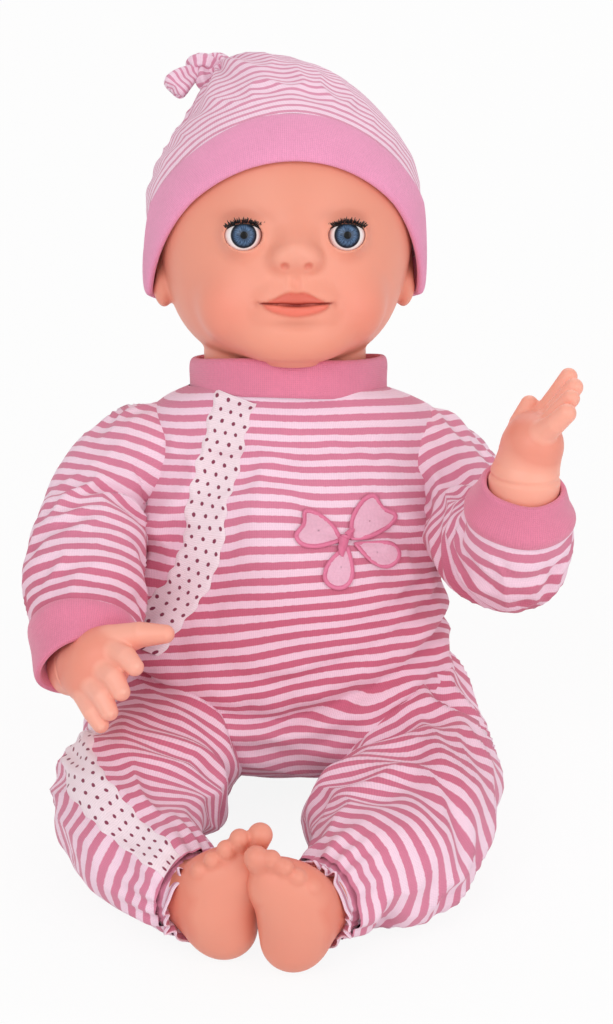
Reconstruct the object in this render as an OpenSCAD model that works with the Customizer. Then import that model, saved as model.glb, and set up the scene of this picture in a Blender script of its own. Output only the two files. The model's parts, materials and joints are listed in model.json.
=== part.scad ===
// Soft-bodied baby doll in a striped romper and knotted hat, seated with its legs drawn up.
// Frame: +Z up, the face looks along -Y, the doll's left is +X, origin on the flat seat.

/* [Pose] */
// Lean of the torso backwards from upright, degrees
recline = 20; // [16:1:23]
// Turn of the head towards the doll's left, degrees
head_yaw = 5; // [-15:1:15]

/* [Torso] */
// Height of the hip line above the seat
hip_level = 34; // [32:0.5:36]
// Width of the romper at the hips
hip_w = 122; // [112:1:126]
// Depth of the romper at the hips
hip_d = 98; // [92:1:104]
// Width of the romper at the chest
chest_w = 107; // [96:1:110]
// Depth of the romper at the chest
chest_d = 86; // [82:1:94]
// Height of the neck seam above the hip line
neck_seam = 133.5; // [130:0.5:138]
// Distance between the two armhole seams
armhole_gap = 112; // [112:1:118]
// Thickness of the romper cloth
cloth = 1.6; // [1:0.1:2]

/* [Collar, cuffs and hems] */
// Outer radius of the collar
collar_r = 40; // [38.5:0.5:42]
// Height of the collar
collar_h = 10.5; // [9:0.5:13]
// Width of the cuff band
cuff_h = 14; // [10:0.5:17]
// Width of the gathered hem at the ankle
hem_h = 8; // [5:0.5:9]
// Thickness of the cuff, collar and brim bands
band = 2.2; // [1.6:0.1:3]

/* [Head] */
// Wall of the moulded head
head_wall = 3; // [2:0.2:3.6]
// Half width of the head above the ears
skull_w = 53.5; // [50:0.5:56]
// Outer radius of the neck
neck_r = 33; // [32:0.5:34]
// How far the nose stands out
nose_h = 9; // [5:0.5:11]
// Distance between the eye centres
eye_gap = 40.6; // [38:0.2:42]
// Diameter of an eyeball
eye_d = 15.6; // [14:0.2:16]

/* [Hat] */
// Ease between the hat and the head
hat_ease = 0.8; // [0.7:0.1:1.5]
// Width of the folded brim
brim_h = 18; // [12:1:22]

/* [Limbs] */
// Radius of the trouser leg at the hip
thigh_r = 30; // [28:0.5:30.4]
// Distance between the two hip centres
hip_gap = 76; // [72:1:80]
// Radius of the sleeve at the armhole
sleeve_r = 22.5; // [20:0.5:23]
// Radius of the vinyl wrist
wrist_r = 12; // [10:0.5:13]
// Radius of the vinyl ankle
ankle_r = 12.5; // [11:0.5:13.5]

/* [Sound module] */
// Width of the sound module
module_w = 58; // [54:1:62]
// Height of the sound module
module_h = 66; // [62:1:70]
// Depth of each half of its case
half_d = 15; // [14:0.5:16]
// Wall of the case
case_wall = 2; // [1.6:0.1:2.4]
// Diameter of the speaker
speaker_d = 34; // [28:1:36]
// Diameter of the tummy button
button_d = 16; // [12:1:18]
// Travel of the tummy button
button_travel = 3; // [2:0.5:3.5]
// Travel of the power switch
switch_travel = 4; // [3:0.5:5]
// Diameter of a battery cell
cell_d = 10.5; // [10:0.1:11]
// Length of a battery cell
cell_l = 44.5; // [42:0.5:46]

/* [Hidden] */
$fn = 64;

// Running gap between pieces that move past each other
run_gap = 0.3;
// Gap between a piece and what it is seated in
seat_gap = 0.2;
// Gap between the filling of a limb and its cover
fill_gap = 0.85;
// Room around a leg in its socket, over the whole spread
socket_gap = 0.7;
// Thickness of ribbon, patches and flaps
trim = 0.6;
// Points round a torso, head or limb section
around = 32;
limb_around = 24;
// Steps between two stations of a section list
fine = 2;

skin_colour = [0.93, 0.61, 0.51];
pink = [0.90, 0.55, 0.67];
stripe_pink = [0.91, 0.67, 0.76];
pale_pink = [0.96, 0.82, 0.88];
stuffing_white = [0.93, 0.91, 0.88];
case_white = [0.88, 0.88, 0.86];
metal = [0.75, 0.75, 0.78];

function unit(v) = v / norm(v);
function lerp(a, b, f) = a + (b - a) * f;
function between(a, b, c, d, u) =
    0.5 * (2*b + (c - a)*u + (2*a - 5*b + 4*c - d)*u*u + (3*b - a - 3*c + d)*u*u*u);
function smooth(st, n) = [
    for (i = [0 : len(st) - 2]) for (k = [0 : n - 1])
        between(st[max(i - 1, 0)], st[i], st[i + 1], st[min(i + 2, len(st) - 1)], k / n),
    st[len(st) - 1]
];
function reversed(list) = [for (i = [len(list) - 1 : -1 : 0]) list[i]];
function centre_of(ring) = [for (k = [0 : 2]) [for (p = ring) p[k]] * [for (p = ring) 1] / len(ring)];

// A solid skinned over rings of equal length. Open rings are capped at both ends,
// and a looped skin joins its last ring to its first, as a tube wall does.
module skin_over(rings, looped = false) {
    n = len(rings[0]);
    m = len(rings);
    points = [for (r = rings) each r, centre_of(rings[0]), centre_of(rings[m - 1])];
    sides = [
        for (i = [0 : m - (looped ? 1 : 2)]) for (j = [0 : n - 1])
            let (a = i * n + j, b = i * n + (j + 1) % n, k = ((i + 1) % m) * n)
            each [[a, k + j, k + (j + 1) % n], [a, k + (j + 1) % n, b]]
    ];
    caps = looped ? [] : [
        for (j = [0 : n - 1])
            each [[m * n, j, (j + 1) % n], [m * n + 1, (m - 1) * n + (j + 1) % n, (m - 1) * n + j]]
    ];
    polyhedron(looped ? [for (r = rings) each r] : points, concat(sides, caps));
}

// Level sections: [x, y, height, half width, depth to the front, depth to the back]
function level_ring(s, off = 0, n = around) = [
    for (i = [0 : n - 1]) let (a = 360 * i / n)
        [s[0] + (s[3] + off) * cos(a), s[1] + ((sin(a) < 0 ? s[4] : s[5]) + off) * sin(a), s[2]]
];
// Limb sections: [centre, direction, radius] as seven numbers
function limb_dir(s) = unit([s[3], s[4], s[5]]);
function limb_e1(s, ref) = unit(cross(limb_dir(s), ref));
function limb_pt(s, ref, a, off) =
    let (e1 = limb_e1(s, ref), e2 = cross(limb_dir(s), e1))
    [s[0], s[1], s[2]] + (s[6] + off) * (cos(a) * e1 + sin(a) * e2);
function limb_ring(s, ref, off = 0) = [
    for (i = [0 : limb_around - 1]) limb_pt(s, ref, 360 * i / limb_around, off)
];
function limb_rings(st, ref, off = 0) = [for (s = st) limb_ring(s, ref, off)];

module torso_frame() translate([0, 0, hip_level]) rotate([-recline, 0, 0]) children();
module head_frame() torso_frame() rotate([0, 0, head_yaw]) children();
// Puts its children's Z axis along d at point p, turned by roll about it
module aim(p, d, roll = 0) {
    u = unit(d);
    translate(p) rotate([0, acos(u[2]), atan2(u[1], u[0])]) rotate([0, 0, roll]) children();
}
module rod(r, y0, y1) translate([0, y1, 0]) rotate([90, 0, 0]) cylinder(r = r, h = y1 - y0);
module slab(w, y0, y1, h) translate([-w / 2, y0, -h / 2]) cube([w, y1 - y0, h]);
module coil(r0, r1, wire_r, length, turns, steps, sides) skin_over([
    for (i = [0 : turns * steps])
        let (f = i / (turns * steps), a = 360 * i / steps, r = lerp(r0, r1, f))
        [for (j = [0 : sides - 1]) let (b = 360 * j / sides)
            [(r + wire_r * cos(b)) * cos(a), (r + wire_r * cos(b)) * sin(a),
             wire_r + f * (length - 2 * wire_r) - wire_r * sin(b)]]
]);

// Torso sections, in the torso frame with the hip line at zero
hip_x = hip_w / 2;
hip_y = hip_d / 2;
chest_x = chest_w / 2;
chest_y = chest_d / 2;
armhole_x = armhole_gap / 2;
shoulder_x = armhole_x + 12;
torso_st = smooth([
    [0, 0, -52, hip_x - 35, hip_y - 24, hip_y - 26],
    [0, 0, -34, hip_x - 12, hip_y - 7, hip_y - 8],
    [0, 0, -15, hip_x - 2, hip_y, hip_y - 1],
    [0, 0, 12, hip_x, hip_y, hip_y],
    [0, 0, 38, hip_x - 2, hip_y - 2, hip_y - 3],
    [0, 0, 62, chest_x + 1.5, chest_y + 2, chest_y + 1],
    [0, 0, 80, chest_x, chest_y, chest_y - 1],
    [0, 0, neck_seam - 36, shoulder_x - 6, chest_y - 4, chest_y - 4],
    [0, 0, neck_seam - 20, shoulder_x, chest_y - 7, chest_y - 6],
    [0, 0, neck_seam - 10, shoulder_x - 5, chest_y - 8, chest_y - 7],
    [0, 0, neck_seam - 4, shoulder_x - 15, collar_r - 2, collar_r - 2],
    [0, 0, neck_seam, collar_r, collar_r, collar_r],
], fine);
function torso_value(t, k) = lookup(t, [for (s = torso_st) [s[2], s[k]]]);
function torso_pt(x, t, off, side) =
    let (rx = torso_value(t, 3) + off, ry = torso_value(t, side < 0 ? 4 : 5) + off)
    [x, side * ry * sqrt(1 - pow(x / rx, 2)), t];

// The legs: hip ball, thigh straight out of its socket, knee bend, then the calf
hip_z = thigh_r + 0.5;
spread_max = 25;
thigh_run = [0.42, -0.907, 0];
up = [0, 0, 1];
function hip_at(side) = [side * hip_gap / 2, 0, hip_z];
function mirrored(v, side) = [side * v[0], v[1], v[2]];
function leg_st(side, knee, calf, ankle) = let (h = hip_at(side), d = mirrored(thigh_run, side)) smooth([
    for (a = [85, 62, 38, 18]) [each h - thigh_r * sin(a) * d, each d, thigh_r * cos(a)],
    [each h, each d, thigh_r],
    [each h + 22 * d - [0, 0, 0.7], each d, thigh_r - 0.7],
    [each h + 44 * d - [0, 0, 1.6], each d, thigh_r - 1.6],
    [each knee, side * 0.08, -1, 0, knee[2] - 0.6],
    [each calf, -side * 0.5, -0.86, 0, calf[2] - 2],
    [each ankle, -side * 0.7, -0.71, 0, 20],
], fine);
left_ankle = [24, -119, 24];
right_ankle = [-41, -118, 24];
left_leg_st = leg_st(1, [62, -66, 28], [50, -97, 27], left_ankle);
right_leg_st = leg_st(-1, [-65, -66, 28], [-57.5, -97, 27], right_ankle);
left_heel = [4, -137, 13];
right_heel = [-24.5, -137, 13];

// The arms, in the torso frame. Each station is written from its armhole seam outwards.
function arm_st(side, list) = smooth([
    for (s = list) [side * (armhole_x + run_gap + s[0]), s[1], s[2], side * s[3], s[4], s[5], s[6]]
], fine);
arm_root = neck_seam - 29.5;
left_arm_list = [
    [0, 0, arm_root, 1, 0, 0, sleeve_r],
    [14.6, -6, arm_root - 11, 0.72, -0.25, -0.65, sleeve_r - 2.5],
    [20.5, -16, arm_root - 22, 0.42, -0.6, -0.68, sleeve_r - 2],
    [26.5, -30, arm_root - 31, 0.28, -0.9, -0.33, sleeve_r - 1],
    [31.5, -43, arm_root - 33, 0.2, -0.95, 0.2, sleeve_r - 0.5],
    [34.5, -55, arm_root - 27, 0.12, -0.72, 0.68, sleeve_r - 1],
    [35.5, -62, arm_root - 17.5, 0.08, -0.5, 0.86, sleeve_r - 2],
];
right_arm_list = [
    [0, 0, arm_root, 1, 0, 0, sleeve_r],
    [14.2, -5, arm_root - 8, 0.72, -0.25, -0.65, sleeve_r - 3],
    [20.4, -16, arm_root - 22, 0.3, -0.5, -0.81, sleeve_r - 2],
    [23.4, -28, arm_root - 37, 0.1, -0.6, -0.79, sleeve_r],
    [23.8, -41, arm_root - 53, 0, -0.63, -0.78, sleeve_r + 0.3],
    [23, -51, arm_root - 65, 0, -0.63, -0.78, sleeve_r - 2],
];
left_arm_st = arm_st(1, left_arm_list);
right_arm_st = arm_st(-1, right_arm_list);
left_arm_ref = [0.7, 0, 0.7];
right_arm_ref = [-0.7, 0, 0.7];
// Stations at the wrist end that hold the vinyl stub instead of stuffing
stub_steps = 4;
stub_l = 15;
flange_r = wrist_r + 2;
gather_h = 4;
function last(st) = st[len(st) - 1];
function point_of(s) = [s[0], s[1], s[2]];
function all_but(st, n) = [for (i = [0 : len(st) - 1 - n]) st[i]];

// The head, in the head frame with the hip line at zero
neck_foot = neck_seam - 13;
chin_t = neck_seam + collar_h + 0.9;
jaw = skull_w - 6;
head_st = smooth([
    [0, 0, chin_t, neck_r + 0.5, neck_r + 3, neck_r + 0.5],
    [0, 0, chin_t + 2, jaw - 12, 47, neck_r + 3],
    [0, 0, chin_t + 8, jaw - 5, 53, 41],
    [0, 0, chin_t + 19, jaw, 55, 47],
    [0, 0, chin_t + 37, skull_w - 2.5, 54, 52],
    [0, 0, chin_t + 53, skull_w - 0.5, 53.5, 55],
    [0, 0, chin_t + 63, skull_w, 53, 55.5],
    [0, 0, chin_t + 76, skull_w - 2, 50.5, 54],
    [0, 0, chin_t + 89, skull_w - 6.5, 45, 49.5],
    [0, 0, chin_t + 101, skull_w - 14.5, 36.5, 41],
    [0, 0, chin_t + 111, skull_w - 26, 25.5, 29.5],
    [0, 0, chin_t + 117, skull_w - 41, 12, 14],
    [0, 0, chin_t + 119, 2, 2, 2],
], fine);
widest = chin_t + 63;
brow_t = chin_t + 50;
nose_t = chin_t + 41;
ear_t = chin_t + 39;
function bump(d, spread) = exp(-d * d / (2 * spread * spread));
function nose_at(x, t) = nose_h * bump(x, 6) * bump(t - nose_t, t > nose_t ? 7 : 4.5);
function lips_at(x, t) = 2.2 * bump(x, 9) * bump(t - nose_t + 19, 5);
function ear_at(y, t) = 3 * bump(y - 4, 5) * bump(t - ear_t, 8);
function face_ring(s) = [
    for (p = level_ring(s)) p[1] < -20
        ? p - [0, nose_at(p[0], p[2]) + lips_at(p[0], p[2]), 0]
        : p + [(p[0] > 0 ? 1 : -1) * min(ear_at(p[1], p[2]), max(0, skull_w - abs(p[0]))), 0, 0]
];
eye_r = eye_d / 2;
socket_r = eye_r + run_gap + 0.1;
cup_r = socket_r + 1.3;
eye_depth = 4.2;
cup_set = 2;
eye_x = eye_gap / 2;
eye_face = 54 * sqrt(1 - pow(eye_x / skull_w, 2));
function eye_at(side) = [side * eye_x, -eye_face + eye_depth, brow_t];
weight_r = eye_r - 4.3;

// The hat follows the skull above its widest level and drops straight down below it
hat_st = [
    [0, 0, chin_t, skull_w, 53, 55.5],
    each [for (s = head_st) if (s[2] >= widest) [0, 0, s[2] + hat_ease, s[3], s[4], s[5]]]
];
hat_top = last(hat_st)[2];
function hat_value(t, k) = lookup(t, [for (s = hat_st) [s[2], s[k]]]);
function hat_pt(a, t, off) = [
    (hat_value(t, 3) + hat_ease + off) * cos(a),
    (hat_value(t, sin(a) < 0 ? 4 : 5) + hat_ease + off) * sin(a), t
];
// Lower edge: high over the forehead, low over the ears and lowest at the nape
function brim_edge(a) = chin_t + 27 + (sin(a) < 0 ? -53 * sin(a) : -7 * sin(a));
function hat_ring(f, off, lift = 0) = [
    for (i = [0 : around - 1])
        let (a = 360 * i / around, t = lerp(brim_edge(a) + brim_h + seat_gap, hat_top, f))
        hat_pt(a, t, off) + [0, 0, lift]
];
function brim_ring(f, off) = [
    for (i = [0 : around - 1]) let (a = 360 * i / around) hat_pt(a, brim_edge(a) + brim_h * f, off)
];
knot_r = 6;
knot_lift = 1;
knot_t = chin_t + 111;
knot_lean = 45;
knot_at = [-hat_value(knot_t, 3) - hat_ease - cloth, -3, knot_t]
    + (knot_r + knot_lift) * [-cos(knot_lean), 0, sin(knot_lean)];

// The sound module, centred in the chest, its depth along Y of the torso frame
module_t = 62;
split_y = -12;
front_y = split_y - half_d;
back_y = split_y + half_d;
module module_frame() torso_frame() translate([0, 0, module_t]) children();
speaker_z = module_h / 2 - speaker_d / 2 - 2 * case_wall;
grille_r = 8;
grille_hole_r = 1.5;
button_z = -module_h / 2 + button_d / 2 + 8;
button_r = button_d / 2;
flange_h = 1.6;
board_y = split_y - 1.6;
bay_w = 3 * (cell_d + 1) + 2;
// Room for a contact at each end of the cells
contact_room = 2.5;
door_lap = 2;
bay_h = cell_l + 2 * contact_room;
bay_z = -module_h / 2 + bay_h / 2 + door_lap + 0.8 * case_wall;
bay_skin = 1;
bay_floor = back_y - case_wall - cell_d - 1.2;
cell_y = bay_floor + 0.6 + cell_d / 2;
door_h = 1.2;
door_screw_x = bay_w / 2 + door_lap / 2 + 1;
door_screw_l = 7;
switch_z = module_h / 2 - 4.5;
knob = 3;
case_screw_at = [for (x = [-1, 1]) for (z = [-1, 1]) [x * (module_w / 2 - 4.5), z * (module_h / 2 - 4.5)]];
boss_r = 2.6;
screw_r = 1;
screw_head_r = 1.9;
screw_sink = 1.4;
// Opening in the back of the filled torso that gives access to the cells
access_w = module_w - 12;
access_h = module_h - 6;

// Torso pieces
module torso_solid(off, floor_z) intersection() {
    torso_frame() skin_over([for (s = torso_st) level_ring(s, off)]);
    translate([-hip_w, -hip_w, floor_z]) cube([2 * hip_w, 2 * hip_w, 2 * neck_seam]);
}
// What the hip balls and the thighs fill as the legs spread, and what lies outside the armholes
module hip_room() for (side = [-1, 1]) translate(hip_at(side)) sphere(thigh_r + socket_gap + 0.3);
module thigh_room() for (side = [-1, 1]) for (a = [0 : spread_max / 2 : spread_max])
    translate(hip_at(side)) rotate([0, 0, side * a]) aim([0, 0, 0], mirrored(thigh_run, side))
        cylinder(r = thigh_r + socket_gap - 0.1 * a / spread_max, h = hip_d);
module armhole_room(inset) torso_frame() for (side = [-1, 1])
    translate([side > 0 ? armhole_x - inset : -armhole_x + inset - hip_w, -hip_w / 2, 70])
        cube([hip_w, hip_w, neck_seam]);
module bodice() color(stripe_pink) difference() {
    torso_solid(0, 0);
    torso_solid(-cloth, cloth);
    hip_room();
    armhole_room(0);
    thigh_room();
}
module torso_body() color(stuffing_white) difference() {
    torso_solid(-cloth - seat_gap, cloth + seat_gap);
    hip_room();
    armhole_room(cloth);
    thigh_room();
    torso_frame() translate([-hip_w, -hip_w, neck_foot - 0.5]) cube(2 * hip_w);
    module_frame()
        slab(module_w + 2 * seat_gap, front_y - seat_gap, back_y + seat_gap, module_h + 2 * seat_gap);
    module_frame() translate([0, 0, button_z]) rod(button_r + 1, front_y - button_travel - 1, front_y);
    module_frame() slab(access_w, back_y, hip_d, access_h);
}
module collar() color(pink) torso_frame() translate([0, 0, neck_seam])
    rotate_extrude() translate([collar_r - band, 0]) square([band, collar_h]);

// A thin sheet between two grids of points of equal size, the first one on its outer face
module sheet_over(outer, inner) {
    rows = len(outer);
    cols = len(outer[0]);
    count = rows * cols;
    top = [
        for (i = [0 : rows - 2]) for (j = [0 : cols - 2])
            let (a = i * cols + j, b = a + 1, c = a + cols + 1, d = a + cols) each [[a, b, c], [a, c, d]]
    ];
    rim = concat(
        [for (j = [0 : cols - 2]) [j, j + 1]],
        [for (i = [0 : rows - 2]) [(i + 1) * cols - 1, (i + 2) * cols - 1]],
        [for (j = [cols - 1 : -1 : 1]) [(rows - 1) * cols + j, (rows - 1) * cols + j - 1]],
        [for (i = [rows - 1 : -1 : 1]) [i * cols, (i - 1) * cols]]);
    polyhedron(concat([for (r = outer) each r], [for (r = inner) each r]), concat(
        top, [for (f = top) [f[2] + count, f[1] + count, f[0] + count]],
        [for (e = rim) each [[e[1], e[0], e[0] + count], [e[1], e[0] + count, e[1] + count]]]));
}
// A strip laid on the torso: centre line [height, x] points from the top down, half width, and which side
function strip_grid(line, half, side, off) = [
    for (p = line) [for (k = [-2 : 2]) torso_pt(p[1] - side * half * k / 2, p[0], off, side)]
];
module torso_strip(line, half, side, lift)
    sheet_over(strip_grid(line, half, side, lift + trim), strip_grid(line, half, side, lift));
ribbon_half = 7;
ribbon_line = smooth([
    [neck_seam - 4.5, -21], [neck_seam - 25, -28.5], [86, -34], [70, -33.5], [52, -38], [38, -43.5],
], 3);
module front_ribbon() color(pale_pink) torso_frame() torso_strip(ribbon_line, ribbon_half, -1, 0.1);
module back_closure() color(pink) torso_frame()
    torso_strip([for (f = [0 : 0.1 : 1]) [lerp(neck_seam - 5, 46, f), 0]], 9, 1, 0.1);
module body_flap() color(stuffing_white) torso_frame()
    torso_strip([for (f = [0 : 0.125 : 1]) [module_t + (1 - 2 * f) * (access_h / 2 - seat_gap), 0]],
        access_w / 2 - seat_gap, 1, -cloth - 2 * seat_gap - trim);
patch_at = [26, 67];
patch_steps = [0.05, 0.35, 0.7, 1];
patch_lift = 0.5;
function wing(a) = 23 * (0.42 + 0.58 * pow(abs(sin(2 * a)), 0.7)) * (sin(a) > 0 ? 1 : 0.82);
function patch_ring(f, off) = [
    for (i = [0 : 31]) let (a = 360 * i / 32, r = wing(a) * f, b = a + 12)
        torso_pt(patch_at[0] + r * cos(b), patch_at[1] + r * sin(b), off, -1)
];
module butterfly_patch() color(pale_pink) torso_frame() skin_over(concat(
    [for (f = patch_steps) patch_ring(f, patch_lift)],
    [for (f = reversed(patch_steps)) patch_ring(f, patch_lift + trim)]));

// Neck bearing: a grooved plug on the body, and a ring in the head that turns in the groove
plug_r = neck_r - 7.5;
groove_h = 4.5;
ring_gap = 0.1;
module neck_plug() color(case_white) torso_frame() translate([0, 0, neck_foot - 0.5]) {
    cylinder(r = plug_r, h = groove_h + 0.8);
    translate([0, 0, groove_h + 0.8]) cylinder(r = plug_r + 3.2, h = 3);
}
module neck_ring() color(case_white) head_frame() translate([0, 0, neck_foot]) difference() {
    cylinder(r = neck_r - head_wall - run_gap - 0.1, h = groove_h - 0.2);
    translate([0, 0, -1]) cylinder(r = plug_r + ring_gap, h = groove_h + 2);
}

// Sound module pieces
module case_half(y0, y1, open_y) difference() {
    slab(module_w, y0, y1, module_h);
    slab(module_w - 2 * case_wall,
        open_y < y1 ? y0 - 1 : y0 + case_wall,
        open_y < y1 ? y1 - case_wall : y1 + 1,
        module_h - 2 * case_wall);
}
module at_case_screws() for (p = case_screw_at) translate([p[0], 0, p[1]]) children();
module module_front() color(case_white) module_frame() difference() {
    union() {
        case_half(front_y, split_y, split_y);
        at_case_screws() rod(boss_r, front_y + case_wall / 2, split_y);
    }
    at_case_screws() rod(screw_r, split_y - 8, split_y + 1);
    translate([0, 0, button_z]) rod(button_r + run_gap, front_y - 1, front_y + case_wall + 1);
    for (a = [0 : 60 : 359]) translate([grille_r * cos(a), 0, speaker_z + grille_r * sin(a)])
        rod(grille_hole_r, front_y - 1, front_y + case_wall + 1);
    translate([0, 0, speaker_z]) rod(grille_hole_r, front_y - 1, front_y + case_wall + 1);
}
module module_back() color(case_white) module_frame() difference() {
    union() {
        case_half(split_y, back_y, split_y - 1);
        at_case_screws() rod(boss_r, split_y, back_y - case_wall / 2);
        translate([0, 0, bay_z])
            slab(bay_w + 2 * case_wall, bay_floor - bay_skin, back_y - 1, bay_h + 2 * case_wall);
    }
    at_case_screws() rod(screw_r + 0.1, split_y - 1, back_y + 1);
    at_case_screws() rod(screw_head_r + 0.1, back_y - screw_sink, back_y + 1);
    translate([0, 0, bay_z]) slab(bay_w, bay_floor, back_y + 1, bay_h);
    translate([0, 0, bay_z])
        slab(bay_w + 2 * (door_lap + seat_gap), back_y - door_h, back_y + 1,
            bay_h + 2 * (door_lap + seat_gap));
    translate([door_screw_x, 0, bay_z]) rod(screw_r, back_y - door_screw_l - 1, back_y);
    translate([0, 0, switch_z]) slab(
        knob + switch_travel + 2 * run_gap, back_y - case_wall - 1, back_y + 1, knob + 2 * run_gap);
}
module speaker() color([0.25, 0.25, 0.27]) module_frame() translate([0, front_y + case_wall, speaker_z])
    rotate([-90, 0, 0]) rotate_extrude() polygon([
        [0, 1.5], [speaker_d / 2 - 4, 0], [speaker_d / 2, 0], [speaker_d / 2, 2],
        [speaker_d / 2 - 6, 6], [9, 6], [9, 9.5], [0, 9.5]]);
module circuit_board() color([0.1, 0.4, 0.2]) module_frame()
    slab(2 * (case_screw_at[3][0] - boss_r - seat_gap), board_y, split_y,
        module_h - 2 * case_wall - 2 * seat_gap);
module tummy_button() color([0.85, 0.3, 0.3]) module_frame() translate([0, 0, button_z]) {
    rod(button_r, front_y - button_travel, front_y + case_wall + run_gap);
    rod(button_r + 1.5, front_y + case_wall + run_gap, front_y + case_wall + run_gap + flange_h);
    rod(2, front_y + case_wall + run_gap + flange_h, board_y - button_travel - 1);
}
button_seat = front_y + case_wall + run_gap + flange_h;
module button_spring() color(metal) module_frame() translate([0, board_y, button_z]) rotate([90, 0, 0])
    coil(4, 4, 0.4, board_y - button_seat - 0.1, 4, 12, 6);
module at_cells() for (k = [-1 : 1])
    translate([k * (cell_d + 1), cell_y, bay_z]) rotate([k == 0 ? 180 : 0, 0, 0]) children();
module battery_cells() color([0.2, 0.5, 0.3]) module_frame() at_cells() {
    translate([0, 0, -cell_l / 2]) cylinder(d = cell_d, h = cell_l - 1);
    translate([0, 0, cell_l / 2 - 1]) cylinder(r = 1.9, h = 1);
}
spring_l = contact_room - 0.6;
module contact_springs() color(metal) module_frame() at_cells()
    translate([0, 0, -cell_l / 2 - spring_l - 0.05]) coil(3.6, 2, 0.35, spring_l, 2.5, 10, 5);
module contact_plates() color(metal) module_frame() at_cells()
    translate([-4, -4, cell_l / 2 + 0.05]) cube([8, 8, contact_room - 0.1]);
module battery_door() color(case_white) module_frame() translate([0, 0, bay_z]) difference() {
    slab(bay_w + 2 * door_lap, back_y - door_h, back_y, bay_h + 2 * door_lap);
    translate([door_screw_x, 0, 0]) rod(screw_r + 0.1, back_y - door_h - 1, back_y + 1);
}
module screw(length) {
    rod(screw_r - 0.02, -length, 0);
    difference() {
        rod(screw_head_r, 0, 1.2);
        slab(0.5, 0.6, 2, 2.6);
        slab(2.6, 0.6, 2, 0.5);
    }
}
module door_screw() color(metal) module_frame() translate([door_screw_x, back_y, bay_z]) screw(door_screw_l);
module case_screws() color(metal) module_frame() at_case_screws()
    translate([0, back_y - screw_sink, 0]) screw(half_d + 4);
module power_switch() color([0.15, 0.15, 0.17]) module_frame()
    translate([-switch_travel / 2, 0, switch_z]) {
    slab(knob, back_y - case_wall - run_gap, back_y + 1.5, knob);
    slab(7, back_y - case_wall - run_gap - 1.2, back_y - case_wall - run_gap, 4.4);
}

// Head pieces
function neck_rings(r) = [for (t = [neck_foot + 0.5, chin_t - 0.6]) level_ring([0, 0, t, r, r, r])];
module head_shell() color(skin_colour) head_frame() difference() {
    skin_over(concat(
        reversed([for (s = head_st) if (s[2] < last(head_st)[2] - head_wall) level_ring([
            s[0], s[1], s[2] + head_wall * (s[2] < widest ? 1 : -0.6),
            max(s[3] - head_wall, 3), max(s[4] - head_wall, 3), max(s[5] - head_wall, 3)])]),
        reversed(neck_rings(neck_r - head_wall)), neck_rings(neck_r),
        [for (s = head_st) face_ring(s)]));
    for (side = [-1, 1]) translate(eye_at(side)) {
        sphere(socket_r);
        eye_cup_envelope();
    }
}
module eye_cup_envelope() intersection() {
    sphere(cup_r);
    translate([-cup_r, cup_set, -cup_r]) cube(2 * cup_r);
}
module eye_cup(side) color(case_white) head_frame() translate(eye_at(side)) difference() {
    eye_cup_envelope();
    sphere(socket_r);
}
module eyeball(side) color("white") head_frame() translate(eye_at(side)) difference() {
    sphere(eye_r);
    rod(weight_r + 0.05, 1, eye_d);
}
module eye_weight(side) color([0.4, 0.4, 0.42]) head_frame() translate(eye_at(side))
    rod(weight_r, 1, eye_r - 1.4);
// Upper lashes: a curved bristle strip standing on the ball above the iris
lash_up = 34;
lash_half = 3.9;
module lashes(side) color([0.08, 0.06, 0.06]) head_frame() translate(eye_at(side)) skin_over([
    for (k = [-4 : 4])
        let (x = lash_half * k / 4, near = sqrt(eye_r * eye_r - x * x) + 0.05, far = near + 1.6)
        [for (q = [[near, -2], [near, 2], [far, 2], [far, -2]])
            [x, -q[0] * cos(lash_up + q[1]), q[0] * sin(lash_up + q[1])]]
]);
module left_eye_cup() eye_cup(1);
module right_eye_cup() eye_cup(-1);
module left_eyeball() eyeball(1);
module right_eyeball() eyeball(-1);
module left_eye_weight() eye_weight(1);
module right_eye_weight() eye_weight(-1);
module left_lashes() lashes(1);
module right_lashes() lashes(-1);

// Hat pieces
crown_steps = [for (k = [0 : 11]) 0.996 * sin(80 * k / 11) / sin(80)];
module hat_crown() color(stripe_pink) head_frame() skin_over(concat(
    [for (f = reversed(crown_steps)) hat_ring(f, 0)],
    [for (f = crown_steps) hat_ring(f, cloth, cloth * f)]));
brim_steps = [0, 0.25, 0.5, 0.75, 1];
module hat_brim() color(pink) head_frame() skin_over(concat(
    [for (f = brim_steps) brim_ring(f, cloth + band * min(1, 4 * f + 0.5))],
    [for (f = reversed(brim_steps)) brim_ring(f, 0)]), looped = true);
module hat_knot() color(stripe_pink) head_frame() translate(knot_at) {
    hull() {
        sphere(knot_r, $fn = 20);
        translate([4, 0, 7]) sphere(knot_r - 2, $fn = 20);
    }
    hull() {
        sphere(knot_r - 2, $fn = 20);
        translate([-9, 0, 2]) sphere(knot_r - 2, $fn = 20);
    }
}

// Arm pieces
module sleeve(st, ref) color(stripe_pink) torso_frame() skin_over(concat(
    limb_rings(st, ref), reversed(limb_rings(st, ref, -cloth))), looped = true);
module arm_stuffing(st, ref) color(stuffing_white) torso_frame()
    skin_over(limb_rings(all_but(st, stub_steps), ref, -cloth - fill_gap));
module cuff(st) color(pink) torso_frame() aim(point_of(last(st)), limb_dir(last(st)))
    rotate_extrude() translate([last(st)[6] - band, 0]) square([band + 0.5, cuff_h]);
module wrist_gather(st) color(stuffing_white) torso_frame() aim(point_of(last(st)), limb_dir(last(st)))
    translate([0, 0, -gather_h]) rotate_extrude()
        translate([wrist_r + run_gap, 0])
            square([last(st)[6] - cloth - 2 * seat_gap - wrist_r - run_gap, gather_h]);
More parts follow.
